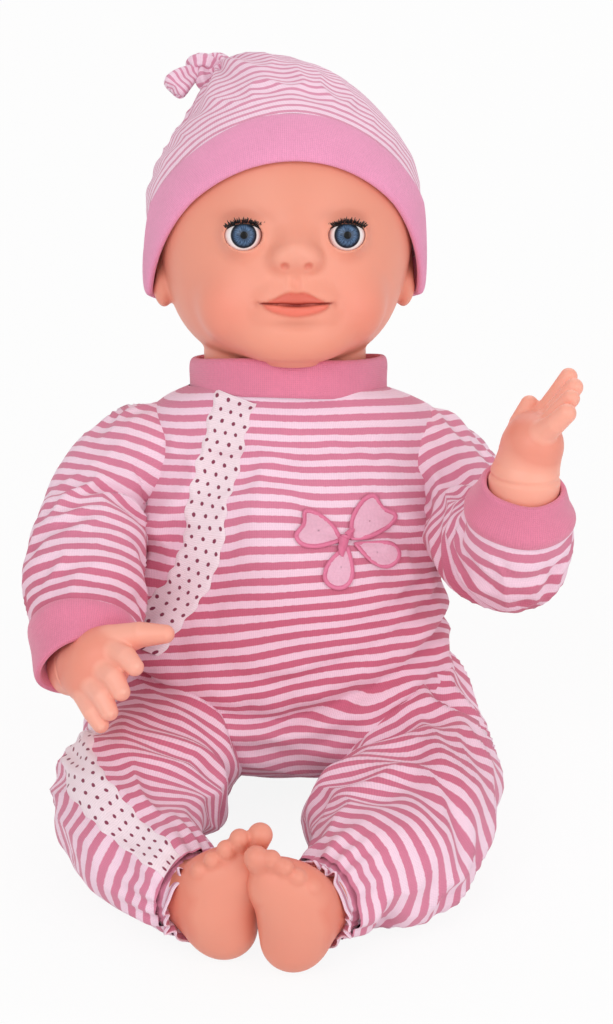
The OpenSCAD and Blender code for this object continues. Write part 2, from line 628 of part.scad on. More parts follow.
// A vinyl hand: wrist stub along the forearm, palm and fingers along dir, thumb on +X
finger_x = [-9.6, -3.2, 3.2, 9.2];
finger_l = [15, 18, 18.5, 16];
module ball(p, r) translate(p) sphere(r, $fn = 12);
module hand(st, palm_run, dir, roll, thumb) color(skin_colour) torso_frame() {
    p = point_of(last(st));
    d = limb_dir(last(st));
    hull() {
        aim(p - stub_l * d, d) cylinder(r = flange_r, h = 2, $fn = 28);
        aim(p - stub_l * d, d) cylinder(r = wrist_r - 0.4, h = 4, $fn = 28);
    }
    hull() {
        aim(p - stub_l * d, d) cylinder(r = wrist_r, h = stub_l, $fn = 28);
        aim(p + d * palm_run, dir, roll) ball([0, 0, 0], wrist_r - 2);
    }
    aim(p + d * palm_run, dir, roll) {
        hull() {
            ball([0, 0, 0], wrist_r - 2);
            for (x = [-7.5, 7.5]) ball([x, 0, 18], 6.5);
        }
        for (k = [0 : 3]) {
            hull() {
                ball([finger_x[k] * 0.85, 0, 19], 4.6);
                ball([finger_x[k], 1.5, 19 + finger_l[k] * 0.55], 4);
            }
            hull() {
                ball([finger_x[k], 1.5, 19 + finger_l[k] * 0.55], 4);
                ball([finger_x[k] * 1.05, 4, 19 + finger_l[k]], 3.5);
            }
        }
        hull() {
            ball([thumb * 7, 2, 4], 6);
            ball([thumb * 12, 8, 12], 4.6);
        }
        hull() {
            ball([thumb * 12, 8, 12], 4.6);
            ball([thumb * 13, 13, 20], 3.7);
        }
    }
}
left_hand_dir = [26, -17, 46];
right_hand_dir = [12, -36, -24];
module left_arm_stuffing() arm_stuffing(left_arm_st, left_arm_ref);
module right_arm_stuffing() arm_stuffing(right_arm_st, right_arm_ref);
module left_sleeve() sleeve(left_arm_st, left_arm_ref);
module right_sleeve() sleeve(right_arm_st, right_arm_ref);
module left_cuff() cuff(left_arm_st);
module right_cuff() cuff(right_arm_st);
module left_wrist_gather() wrist_gather(left_arm_st);
module right_wrist_gather() wrist_gather(right_arm_st);
module left_hand() hand(left_arm_st, 16, left_hand_dir, 150, 1);
module right_hand() hand(right_arm_st, 14, right_hand_dir, -42, -1);

// Leg pieces
module trouser(st) color(stripe_pink) skin_over(concat(
    limb_rings(st, up), reversed(limb_rings([for (k = [2 : len(st) - 1]) st[k]], up, -cloth))));
module leg_stuffing(st) color(stuffing_white)
    skin_over(limb_rings([for (k = [3 : len(st) - 1 - stub_steps]) st[k]], up, -cloth - fill_gap));
module hem(st) color(stripe_pink) aim(point_of(last(st)), limb_dir(last(st)))
    rotate_extrude() polygon([
        [last(st)[6] - cloth, 0], [last(st)[6], 0], [last(st)[6] - 2, hem_h / 3],
        [last(st)[6] + 1, hem_h], [last(st)[6] + 1 - cloth, hem_h], [last(st)[6] - 2 - cloth, hem_h / 3]]);
module ankle_gather(st) color(stuffing_white) aim(point_of(last(st)), limb_dir(last(st)))
    translate([0, 0, -gather_h]) rotate_extrude()
        translate([ankle_r + seat_gap, 0]) square([last(st)[6] - cloth - ankle_r - 3 * seat_gap, gather_h]);
// A vinyl foot, sole to the front and toes up, with a stub into the trouser leg
toe_x = [8.5, 2.6, -2.4, -6.8, -10.4];
toe_z = [45, 46, 44, 41, 37.5];
toe_r = [5, 3.9, 3.6, 3.3, 3];
module foot(st, heel, medial) color(skin_colour) {
    p = point_of(last(st));
    d = limb_dir(last(st));
    aim(p - stub_l * d, d) cylinder(r = ankle_r, h = stub_l + 1, $fn = 28);
    hull() {
        aim(p, d) cylinder(r = ankle_r, h = 2, $fn = 28);
        translate(heel + [0, 2, 4]) sphere(ankle_r - 1, $fn = 20);
    }
    translate(heel) {
        hull() {
            ball([0, 0, 0], 12.4);
            ball([0, 1, 18], 11);
            for (x = [-6, 6]) ball([medial * x, 2, 33], 8.5);
        }
        for (k = [0 : 4]) {
            hull() {
                ball([medial * toe_x[k] * 0.9, 2, toe_z[k] - 11], toe_r[k] + 1);
                ball([medial * toe_x[k], -1, toe_z[k]], toe_r[k]);
            }
            ball([medial * toe_x[k], -2.5, toe_z[k] + 0.5], toe_r[k] * 0.9);
        }
        hull() for (x = [-7, 6]) ball([medial * x, -1.5, 32], 7.5);
        hull() for (z = [2, 8]) ball([0, -1, z], 11.5);
    }
}
module left_leg_stuffing() leg_stuffing(left_leg_st);
module right_leg_stuffing() leg_stuffing(right_leg_st);
module left_trouser() trouser(left_leg_st);
module right_trouser() trouser(right_leg_st);
module left_hem() hem(left_leg_st);
module right_hem() hem(right_leg_st);
module left_ankle_gather() ankle_gather(left_leg_st);
module right_ankle_gather() ankle_gather(right_leg_st);
module left_foot() foot(left_leg_st, left_heel, -1);
module right_foot() foot(right_leg_st, right_heel, 1);
// Ribbon down the outer front of the right leg: angle about the leg for each section
leg_ribbon_first = 11;
leg_ribbon_rows = 8;
leg_ribbon_from = -62;
leg_ribbon_to = -35;
leg_ribbon_spread = 16;
function leg_ribbon_grid(off) = [
    for (k = [0 : leg_ribbon_rows - 1])
        let (s = right_leg_st[leg_ribbon_first + k],
             a = lerp(leg_ribbon_from, leg_ribbon_to, k / (leg_ribbon_rows - 1)))
        [for (q = [2 : -1 : -2]) limb_pt(s, up, a + leg_ribbon_spread * q / 2, off)]
];
module leg_ribbon() color(pale_pink) sheet_over(leg_ribbon_grid(0.1 + trim), leg_ribbon_grid(0.1));

torso_body();
bodice();
collar();
back_closure();
body_flap();
front_ribbon();
butterfly_patch();
neck_plug();
module_front();
module_back();
speaker();
circuit_board();
battery_cells();
contact_springs();
contact_plates();
battery_door();
door_screw();
case_screws();
button_spring();
tummy_button();
power_switch();
head_shell();
neck_ring();
left_eye_cup();
right_eye_cup();
left_eyeball();
left_eye_weight();
left_lashes();
right_eyeball();
right_eye_weight();
right_lashes();
hat_crown();
hat_brim();
hat_knot();
left_arm_stuffing();
left_sleeve();
left_cuff();
left_wrist_gather();
left_hand();
right_arm_stuffing();
right_sleeve();
right_cuff();
right_wrist_gather();
right_hand();
left_leg_stuffing();
left_trouser();
left_hem();
left_ankle_gather();
left_foot();
right_leg_stuffing();
right_trouser();
right_hem();
right_ankle_gather();
right_foot();
leg_ribbon();
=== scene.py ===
"""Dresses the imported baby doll: vinyl skin, sleeping eyes, hat, striped romper and trim."""

from __future__ import annotations

import json
import logging
import math
from dataclasses import dataclass, field
from enum import Enum
from typing import Callable, Iterable, Sequence

import bpy
import numpy as np
from mathutils import Matrix, Vector

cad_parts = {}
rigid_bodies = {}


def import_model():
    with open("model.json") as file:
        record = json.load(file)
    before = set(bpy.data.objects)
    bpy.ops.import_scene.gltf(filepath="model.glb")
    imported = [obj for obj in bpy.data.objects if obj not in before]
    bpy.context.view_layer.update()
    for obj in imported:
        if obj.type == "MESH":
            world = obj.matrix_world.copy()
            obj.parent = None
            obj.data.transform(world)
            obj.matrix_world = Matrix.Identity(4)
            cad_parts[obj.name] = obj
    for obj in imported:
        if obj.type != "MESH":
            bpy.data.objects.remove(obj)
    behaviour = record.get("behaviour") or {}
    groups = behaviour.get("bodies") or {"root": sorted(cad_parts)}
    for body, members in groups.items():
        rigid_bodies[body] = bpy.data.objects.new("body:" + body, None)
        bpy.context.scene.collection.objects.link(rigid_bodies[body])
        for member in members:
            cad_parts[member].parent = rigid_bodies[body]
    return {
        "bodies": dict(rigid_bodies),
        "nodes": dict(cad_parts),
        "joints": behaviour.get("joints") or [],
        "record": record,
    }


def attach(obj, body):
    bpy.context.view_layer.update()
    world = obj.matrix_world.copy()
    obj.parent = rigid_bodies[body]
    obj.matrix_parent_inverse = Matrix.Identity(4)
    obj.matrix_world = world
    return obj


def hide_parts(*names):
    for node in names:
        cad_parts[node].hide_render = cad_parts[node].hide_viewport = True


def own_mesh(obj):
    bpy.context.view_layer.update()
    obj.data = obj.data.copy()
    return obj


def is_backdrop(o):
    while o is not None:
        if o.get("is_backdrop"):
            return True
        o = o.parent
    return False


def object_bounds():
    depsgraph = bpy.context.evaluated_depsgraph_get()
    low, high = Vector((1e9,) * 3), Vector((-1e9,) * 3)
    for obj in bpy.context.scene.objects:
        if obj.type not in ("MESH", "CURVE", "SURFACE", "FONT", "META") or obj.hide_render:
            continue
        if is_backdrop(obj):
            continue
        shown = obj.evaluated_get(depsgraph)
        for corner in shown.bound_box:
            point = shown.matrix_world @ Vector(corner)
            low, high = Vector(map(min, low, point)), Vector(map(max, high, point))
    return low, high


LOG = logging.getLogger("doll")
Array = np.ndarray
Socket = bpy.types.NodeSocket
Node = bpy.types.Node
Tree = bpy.types.NodeTree
Piece = bpy.types.Object
Material = bpy.types.Material
Row = Sequence[float]
Triple = tuple[float, float, float]
Colour = tuple[float, float, float, float]
MM = 0.001
TAU = 2.0 * math.pi
TINY = 1e-9
UV_NAME = "cloth"
UV_SCALE = 0.01
PAINT = "paint"

# Pose of the part, the same values as in the part's source
RECLINE = math.radians(20.0)
HEAD_YAW = math.radians(5.0)
HIP = np.array([0.0, 0.0, 34.0])
CHIN = np.array([0.0, 0.0, 144.9])
NECK_SEAM = 133.5


class Body(Enum):
    """The bodies that pieces ride on."""

    TORSO = "torso"
    HEAD = "head"
    HAT = "hat"
    LEFT_EYE = "left_eye"
    RIGHT_EYE = "right_eye"
    LEFT_ARM = "left_arm"
    RIGHT_ARM = "right_arm"
    LEFT_HAND = "left_hand"
    RIGHT_HAND = "right_hand"
    LEFT_LEG = "left_leg"
    RIGHT_LEG = "right_leg"


class Side(Enum):
    """The doll's own left and right, with the sign of X on that side."""

    LEFT = 1
    RIGHT = -1

    @property
    def word(self) -> str:
        """The side's name as it stands in piece names."""
        return self.name.lower()

    def body(self, part: str) -> Body:
        """The body of this side's arm, hand, leg or eye."""
        return Body(f"{self.word}_{part}")

    def pick(self, left: float, right: float) -> float:
        """The value for this side."""
        return left if self is Side.LEFT else right


def turned(points: Array, angle: float, axis: int) -> Array:
    """Turns points about one of the frame's axes.

    Args:
        points: Array of points, last axis x, y, z.
        angle: Angle in radians.
        axis: Number of the axis, 0 for X and 2 for Z.

    Returns:
        The turned points.
    """
    a, b = (axis + 1) % 3, (axis + 2) % 3
    c, s = math.cos(angle), math.sin(angle)
    out = points.copy()
    out[..., a] = points[..., a] * c - points[..., b] * s
    out[..., b] = points[..., a] * s + points[..., b] * c
    return out


def torso_to_row(points: Array) -> Array:
    """Takes points in mm from the leaning torso frame to the part's frame."""
    return turned(points, -RECLINE, 0) + HIP


def row_to_torso(points: Array) -> Array:
    """Takes points in mm from the part's frame to the leaning torso frame."""
    return turned(points - HIP, RECLINE, 0)


def head_to_row(points: Array) -> Array:
    """Takes points in mm from the head frame, height above the chin, to the part's frame."""
    return torso_to_row(turned(points + CHIN, HEAD_YAW, 2))


def linear(*levels: int) -> Colour:
    """Turns an sRGB colour of 0 to 255 into a linear RGBA colour."""
    part = [v / 255.0 for v in levels]
    return (*(v / 12.92 if v <= 0.04045 else ((v + 0.055) / 1.055) ** 2.4 for v in part), 1.0)


def unit(v: Array) -> Array:
    """Vectors brought to length 1."""
    return v / np.maximum(np.linalg.norm(v, axis=-1, keepdims=True), TINY)


def around(count: int) -> Array:
    """Evenly spaced angles of a full turn."""
    return np.linspace(0.0, TAU, count, endpoint=False)


def lengths(line: Array) -> Array:
    """Distance along rows of points, from 0 at the first."""
    gaps = np.linalg.norm(np.diff(line, axis=0), axis=-1)
    return np.concatenate([np.zeros_like(gaps[:1]), np.cumsum(gaps, axis=0)])


def spline(stations: Sequence[Row], count: int) -> Array:
    """Runs a smooth curve through stations of any width.

    Args:
        stations: Rows of numbers, the first and last one are reached.
        count: How many rows come back.

    Returns:
        An array of count rows.
    """
    st = np.array(stations, float)
    u = np.linspace(0.0, len(st) - 1.0, count)
    i = np.minimum(u.astype(int), len(st) - 2)
    f = (u - i)[:, None]
    a = st[np.maximum(i - 1, 0)]
    b = st[i]
    c = st[i + 1]
    d = st[np.minimum(i + 2, len(st) - 1)]
    bend = 2 * a - 5 * b + 4 * c - d
    twist = 3 * b - a - 3 * c + d
    return 0.5 * (2 * b + (c - a) * f + bend * f**2 + twist * f**3)


def ramp(x: Array, low: float, high: float) -> Array:
    """Smooth step from 0 at low to 1 at high."""
    f = np.clip((x - low) / (high - low), 0.0, 1.0)
    return f * f * (3.0 - 2.0 * f)


def bell(x: Array, centre: float, width: float) -> Array:
    """Bell curve of height 1."""
    return np.exp(-(((x - centre) / width) ** 2))


def lumps(points: Array, size: float, seed: int) -> Array:
    """Soft unevenness between about -1 and 1, the same on each run.

    Args:
        points: Points in mm.
        size: Size of a lump in mm.
        seed: Seed of the wave directions.

    Returns:
        One value for each point.
    """
    rng = np.random.default_rng(seed)
    total = np.zeros(points.shape[:-1])
    for k in range(7):
        way = rng.normal(size=3)
        way *= TAU / (size * (0.7 + 0.15 * k)) / np.linalg.norm(way)
        total += np.sin(points @ way + rng.uniform(0.0, TAU))
    return total / 3.2


def evened(values: Array, times: int = 1) -> Array:
    """Evens values out round the rings of a grid.

    Args:
        values: Values for each row and column.
        times: How often it is done.

    Returns:
        The smoother values.
    """
    for _ in range(times):
        values = 0.5 * values + 0.25 * (np.roll(values, 1, axis=1) + np.roll(values, -1, axis=1))
    return values


def new_object(name: str, points: Array, faces: Iterable[Sequence[int]]) -> Piece:
    """Makes a smooth-shaded mesh object in the part's frame.

    Args:
        name: Name of the piece.
        points: Points in mm, one row each.
        faces: Corner numbers of each face.

    Returns:
        The linked object.
    """
    mesh = bpy.data.meshes.new(name)
    mesh.from_pydata((points.reshape(-1, 3) * MM).tolist(), [], [list(map(int, f)) for f in faces])
    mesh.update()
    mesh.polygons.foreach_set("use_smooth", np.ones(len(mesh.polygons), bool))
    obj = bpy.data.objects.new(name, mesh)
    bpy.context.scene.collection.objects.link(obj)
    return obj


def grid_faces(rows: int, cols: int, closed: bool) -> tuple[Array, Array]:
    """Quads over a grid of points.

    Args:
        rows: Rows of points.
        cols: Points in each row.
        closed: Whether the last point of a row joins its first.

    Returns:
        Corner numbers into the points, and into a grid of UVs with one more column where closed.
    """
    steps = cols if closed else cols - 1
    wide = cols + 1 if closed else cols
    i, j = np.meshgrid(np.arange(rows - 1), np.arange(steps), indexing="ij")
    k = (j + 1) % cols
    faces = np.stack([i * cols + j, i * cols + k, (i + 1) * cols + k, (i + 1) * cols + j], -1)
    spots = np.stack([i * wide + j, i * wide + j + 1, (i + 1) * wide + j + 1, (i + 1) * wide + j], -1)
    return faces.reshape(-1, 4), spots.reshape(-1, 4)


def grid_object(name: str, points: Array, uv: Array, closed: bool = True) -> Piece:
    """Makes a piece of cloth from a grid of points and its UVs.

    Args:
        name: Name of the piece.
        points: Grid of points in mm, rows by columns by 3.
        uv: Grid of cloth coordinates in mm, with one more column where the rows are closed.
        closed: Whether each row is a ring.

    Returns:
        The linked object with its UV map.
    """
    faces, spots = grid_faces(*points.shape[:2], closed)
    obj = new_object(name, points, faces)
    layer = obj.data.uv_layers.new(name=UV_NAME)
    layer.data.foreach_set("uv", (uv.reshape(-1, 2)[spots.ravel()] * UV_SCALE).ravel())
    return obj


def ring_uv(points: Array, along: Array | None = None) -> Array:
    """Cloth coordinates of a closed grid: round the rings and along them.

    Args:
        points: Grid of points in mm.
        along: Coordinate of each row or point along the piece, or None to measure it.

    Returns:
        UV grid in mm with one more column.
    """
    rows, cols = points.shape[:2]
    loop = np.concatenate([points, points[:, :1]], axis=1)
    u = lengths(loop.swapaxes(0, 1)).mean(axis=1)
    if along is None:
        along = lengths(points).mean(axis=1)
    v = np.broadcast_to(np.asarray(along).reshape(rows, -1), (rows, cols))
    v = np.concatenate([v, v[:, :1]], axis=1)
    return np.stack([np.broadcast_to(u, v.shape), v], axis=-1)


def grid_normals(points: Array) -> Array:
    """Unit normals of a closed grid that is ordered as grid_faces orders it."""
    across = np.roll(points, -1, axis=1) - np.roll(points, 1, axis=1)
    return unit(np.cross(across, np.gradient(points, axis=0)))


def pushed(points: Array, height: Array) -> Array:
    """Moves a closed grid along its normals."""
    return points + grid_normals(points) * height[..., None]


def sampled(grid: Array, row: Array, col: Array) -> Array:
    """Points between those of a closed grid.

    Args:
        grid: Grid of points whose rows are rings.
        row: Row numbers, with fractions.
        col: Column numbers, with fractions.

    Returns:
        The points between.
    """
    rows, cols = grid.shape[:2]
    i = np.clip(np.floor(row).astype(int), 0, rows - 2)
    j = np.floor(col).astype(int)
    f = np.clip(row - i, 0.0, 1.0)[..., None]
    g = (col - j)[..., None]
    low = grid[i, j % cols] * (1.0 - g) + grid[i, (j + 1) % cols] * g
    high = grid[i + 1, j % cols] * (1.0 - g) + grid[i + 1, (j + 1) % cols] * g
    return low * (1.0 - f) + high * f


def grounded(points: Array, floor: float = 0.5, soft: float = 2.0) -> Array:
    """Lets points lie on the ground instead of below it.

    Args:
        points: Points in mm.
        floor: Height at which the cloth lies.
        soft: Roundness of the edge between lying and standing cloth.

    Returns:
        The moved points.
    """
    out = points.copy()
    out[..., 2] = floor + soft * np.logaddexp(0.0, (out[..., 2] - floor) / soft)
    return out


def tube_along(path: Array, radius: Array, cols: int) -> Array:
    """Grid of rings along a path of points, turned as little as possible.

    Args:
        path: Points of the middle line in mm.
        radius: Radius at each point.
        cols: Points in each ring.

    Returns:
        Grid of points.
    """
    way = unit(np.gradient(path, axis=0))
    side = unit(np.cross(way[0], np.array([0.31, 0.52, 0.79])))
    a = around(cols)[:, None]
    rings = []
    for p, d, r in zip(path, way, radius):
        side = unit(side - (side @ d) * d)
        rings.append(p + r * (np.cos(a) * side + np.sin(a) * np.cross(d, side)))
    return np.array(rings)


def box_distance(value: Array, low: float, high: float) -> Array:
    """Distance outside a range, negative inside it."""
    return np.maximum(low - value, value - high)


def sphere(p: Array, centre: Row, r: float) -> Array:
    """Distance to a sphere."""
    return np.linalg.norm(p - np.array(centre), axis=-1) - r


def ellipsoid(p: Array, centre: Row, radii: Row) -> Array:
    """Nearly the distance to an ellipsoid.

    Args:
        p: Points in mm.
        centre: Its middle.
        radii: Its half sizes along x, y and z.

    Returns:
        The distance of each point, negative inside.
    """
    q = (p - np.array(centre)) / np.array(radii)
    k0 = np.linalg.norm(q, axis=-1)
    k1 = np.linalg.norm(q / np.array(radii), axis=-1)
    return k0 * (k0 - 1.0) / np.maximum(k1, TINY)


def cone(p: Array, a: Row, b: Row, ra: float, rb: float) -> Array:
    """Distance to a rod with round ends.

    Args:
        p: Points in mm.
        a: Middle of the first end.
        b: Middle of the second end.
        ra: Radius at the first end.
        rb: Radius at the second end.

    Returns:
        The distance of each point, negative inside.
    """
    start = np.array(a, float)
    way = np.array(b, float) - start
    t = np.clip((p - start) @ way / (way @ way), 0.0, 1.0)
    return np.linalg.norm(p - start - t[..., None] * way, axis=-1) - (ra + (rb - ra) * t)


def join(a: Array, b: Array, k: float) -> Array:
    """Smooth union of two distances."""
    h = np.clip(0.5 + 0.5 * (b - a) / k, 0.0, 1.0)
    return b + (a - b) * h - k * h * (1.0 - h)


def cut(a: Array, b: Array, k: float) -> Array:
    """Smoothly takes the second shape out of the first."""
    return -join(-a, b, k)


def net(distance: Callable[[Array], Array], low: Row, high: Row, cell: float) -> tuple[Array, Array]:
    """Skins the zero level of a distance function with quads, and settles the points on it.

    Args:
        distance: Signed distance of points in mm, negative inside.
        low: Lowest corner of the searched box.
        high: Highest corner of the searched box.
        cell: Size of a grid cell.

    Returns:
        The points and the quads, with the faces turned outwards.
    """
    axes = [np.arange(a, b + cell, cell) for a, b in zip(low, high)]
    shape = tuple(len(a) for a in axes)
    values = np.empty(shape, np.float32)
    plane = np.stack(np.meshgrid(axes[1], axes[2], indexing="ij"), -1).reshape(-1, 2)
    for i, x in enumerate(axes[0]):
        layer = np.concatenate([np.full((len(plane), 1), x), plane], axis=1)
        values[i] = distance(layer).reshape(shape[1:])
    inside = values < 0.0
    corners = [(a, b, c) for a in (0, 1) for b in (0, 1) for c in (0, 1)]
    n, m, o = (s - 1 for s in shape)
    count = sum(inside[a : a + n, b : b + m, c : c + o].astype(np.int8) for a, b, c in corners)
    mixed_cells = (count > 0) & (count < 8)
    ids = np.full((n, m, o), -1, np.int64)
    spots = np.argwhere(mixed_cells)
    ids[mixed_cells] = np.arange(len(spots))
    total = np.zeros((len(spots), 3))
    hits = np.zeros(len(spots))
    for corner in corners:
        for axis in range(3):
            if corner[axis]:
                continue
            a = np.array(corner)
            b = a + np.eye(3, dtype=int)[axis]
            d0 = values[tuple((spots + a).T)]
            d1 = values[tuple((spots + b).T)]
            hit = (d0 < 0.0) != (d1 < 0.0)
            point = np.tile(a.astype(float), (len(spots), 1))
            point[:, axis] = np.where(hit, d0 / np.where(hit, d0 - d1, 1.0), 0.0)
            total += point * hit[:, None]
            hits += hit
    points = (spots + total / hits[:, None]) * cell + np.array([a[0] for a in axes])
    quads = []
    for axis in range(3):
        order = (axis, (axis + 1) % 3, (axis + 2) % 3)
        wall = np.transpose(inside, order)
        names = np.transpose(ids, order)
        i, j, k = np.argwhere(wall[:-1, 1:-1, 1:-1] != wall[1:, 1:-1, 1:-1]).T
        ring = np.stack([names[i, j, k], names[i, j + 1, k], names[i, j + 1, k + 1], names[i, j, k + 1]], -1)
        out = wall[i, j + 1, k + 1]
        quads.append(np.where(out[:, None], ring, ring[:, ::-1]))
    eps = 0.05
    for _ in range(3):
        ends = [(distance(points + eps * e), distance(points - eps * e)) for e in np.eye(3)]
        slope = np.stack([(ahead - behind) / (2 * eps) for ahead, behind in ends], -1)
        step = distance(points)[:, None] * slope / np.maximum((slope**2).sum(-1, keepdims=True), 0.05)
        points = points - np.clip(step, -0.4 * cell, 0.4 * cell)
    return points, np.concatenate(quads)


def mixed(base: Array, weight: Array, colour: Row) -> Array:
    """Mixes a colour into a row of colours by a weight for each."""
    w = np.clip(weight, 0.0, 1.0)[:, None]
    return base * (1.0 - w) + np.array(colour[:3]) * w


def paint(obj: Piece, colours: Array) -> None:
    """Stores a linear colour for each point of a piece.

    Args:
        obj: The piece.
        colours: One row of three numbers for each point.
    """
    layer = obj.data.attributes.new(PAINT, "FLOAT_COLOR", "POINT")
    full = np.concatenate([colours, np.ones((len(colours), 1))], axis=1)
    layer.data.foreach_set("color", full.astype(np.float32).ravel())


def dress(obj: Piece, finish: Material, nodes: Sequence[str], body: Body) -> None:
    """Gives a piece its material, the solids it stands for and its body.

    Args:
        obj: The piece.
        finish: Its material.
        nodes: Names of the solids that it stands for.
        body: The body it rides on.
    """
    obj.data.materials.clear()
    obj.data.materials.append(finish)
    if nodes:
        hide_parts(*nodes)
    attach(obj, body.value)
    LOG.info("%s: %d faces", obj.name, len(obj.data.polygons))


class Graph:
    """Short calls that place nodes in one node tree."""

    def __init__(self, tree: Tree) -> None:
        """Keeps the tree that the calls work on."""
        self.tree = tree

    def put(self, socket: Socket, value: object) -> None:
        """Links a socket into another one, or sets its value.

        Args:
            socket: The input.
            value: A socket that feeds it, or its plain value.
        """
        if isinstance(value, Socket):
            self.tree.links.new(value, socket)
        else:
            socket.default_value = value

    def add(self, kind: str, inputs: dict | None = None, **values: object) -> Node:
        """Places a node.

        Args:
            kind: Blender's name of the node.
            inputs: Values or sockets for its inputs, by name or number.
            **values: Its properties.

        Returns:
            The node.
        """
        node = self.tree.nodes.new(kind)
        for name, value in values.items():
            setattr(node, name, value)
        for name, value in (inputs or {}).items():
            self.put(node.inputs[name], value)
        return node

    def math(self, operation: str, a: object, b: object = 0.0, c: object = 0.0) -> Socket:
        """Places a Math node and returns its result."""
        return self.add("ShaderNodeMath", {0: a, 1: b, 2: c}, operation=operation).outputs[0]

    def mix(self, factor: object, a: object, b: object) -> Socket:
        """Mixes two colours by a factor."""
        return self.add("ShaderNodeMix", {0: factor, 6: a, 7: b}, data_type="RGBA").outputs[2]

    def tinted(self, colour: object, value: object) -> Socket:
        """Multiplies a colour by a value."""
        plain = colour if isinstance(colour, Socket) else colour[:3]
        return self.add("ShaderNodeVectorMath", {0: plain, "Scale": value}, operation="SCALE").outputs[0]

    def noise(self, vector: Socket, scale: object, detail: float = 2.0) -> Socket:
        """Places a noise texture and returns its value."""
        return self.add("ShaderNodeTexNoise", {"Vector": vector, "Scale": scale, "Detail": detail}).outputs[0]

    def smooth(self, value: Socket, low: object, high: object) -> Socket:
        """Smooth step from 0 at low to 1 at high."""
        ends = {"Value": value, "From Min": low, "From Max": high}
        return self.add("ShaderNodeMapRange", ends, interpolation_type="SMOOTHSTEP").outputs[0]

    def parts(self, vector: Socket) -> Sequence[Socket]:
        """Splits a vector into its three numbers."""
        return self.add("ShaderNodeSeparateXYZ", {0: vector}).outputs

    def vector(self, x: object, y: object, z: object = 0.0) -> Socket:
        """Joins three numbers into a vector."""
        return self.add("ShaderNodeCombineXYZ", {0: x, 1: y, 2: z}).outputs[0]

    def use(self, tree: Tree, **values: object) -> Sequence[Socket]:
        """Places a node group with its inputs set by name, and returns its outputs."""
        return self.add("ShaderNodeGroup", values, node_tree=tree).outputs


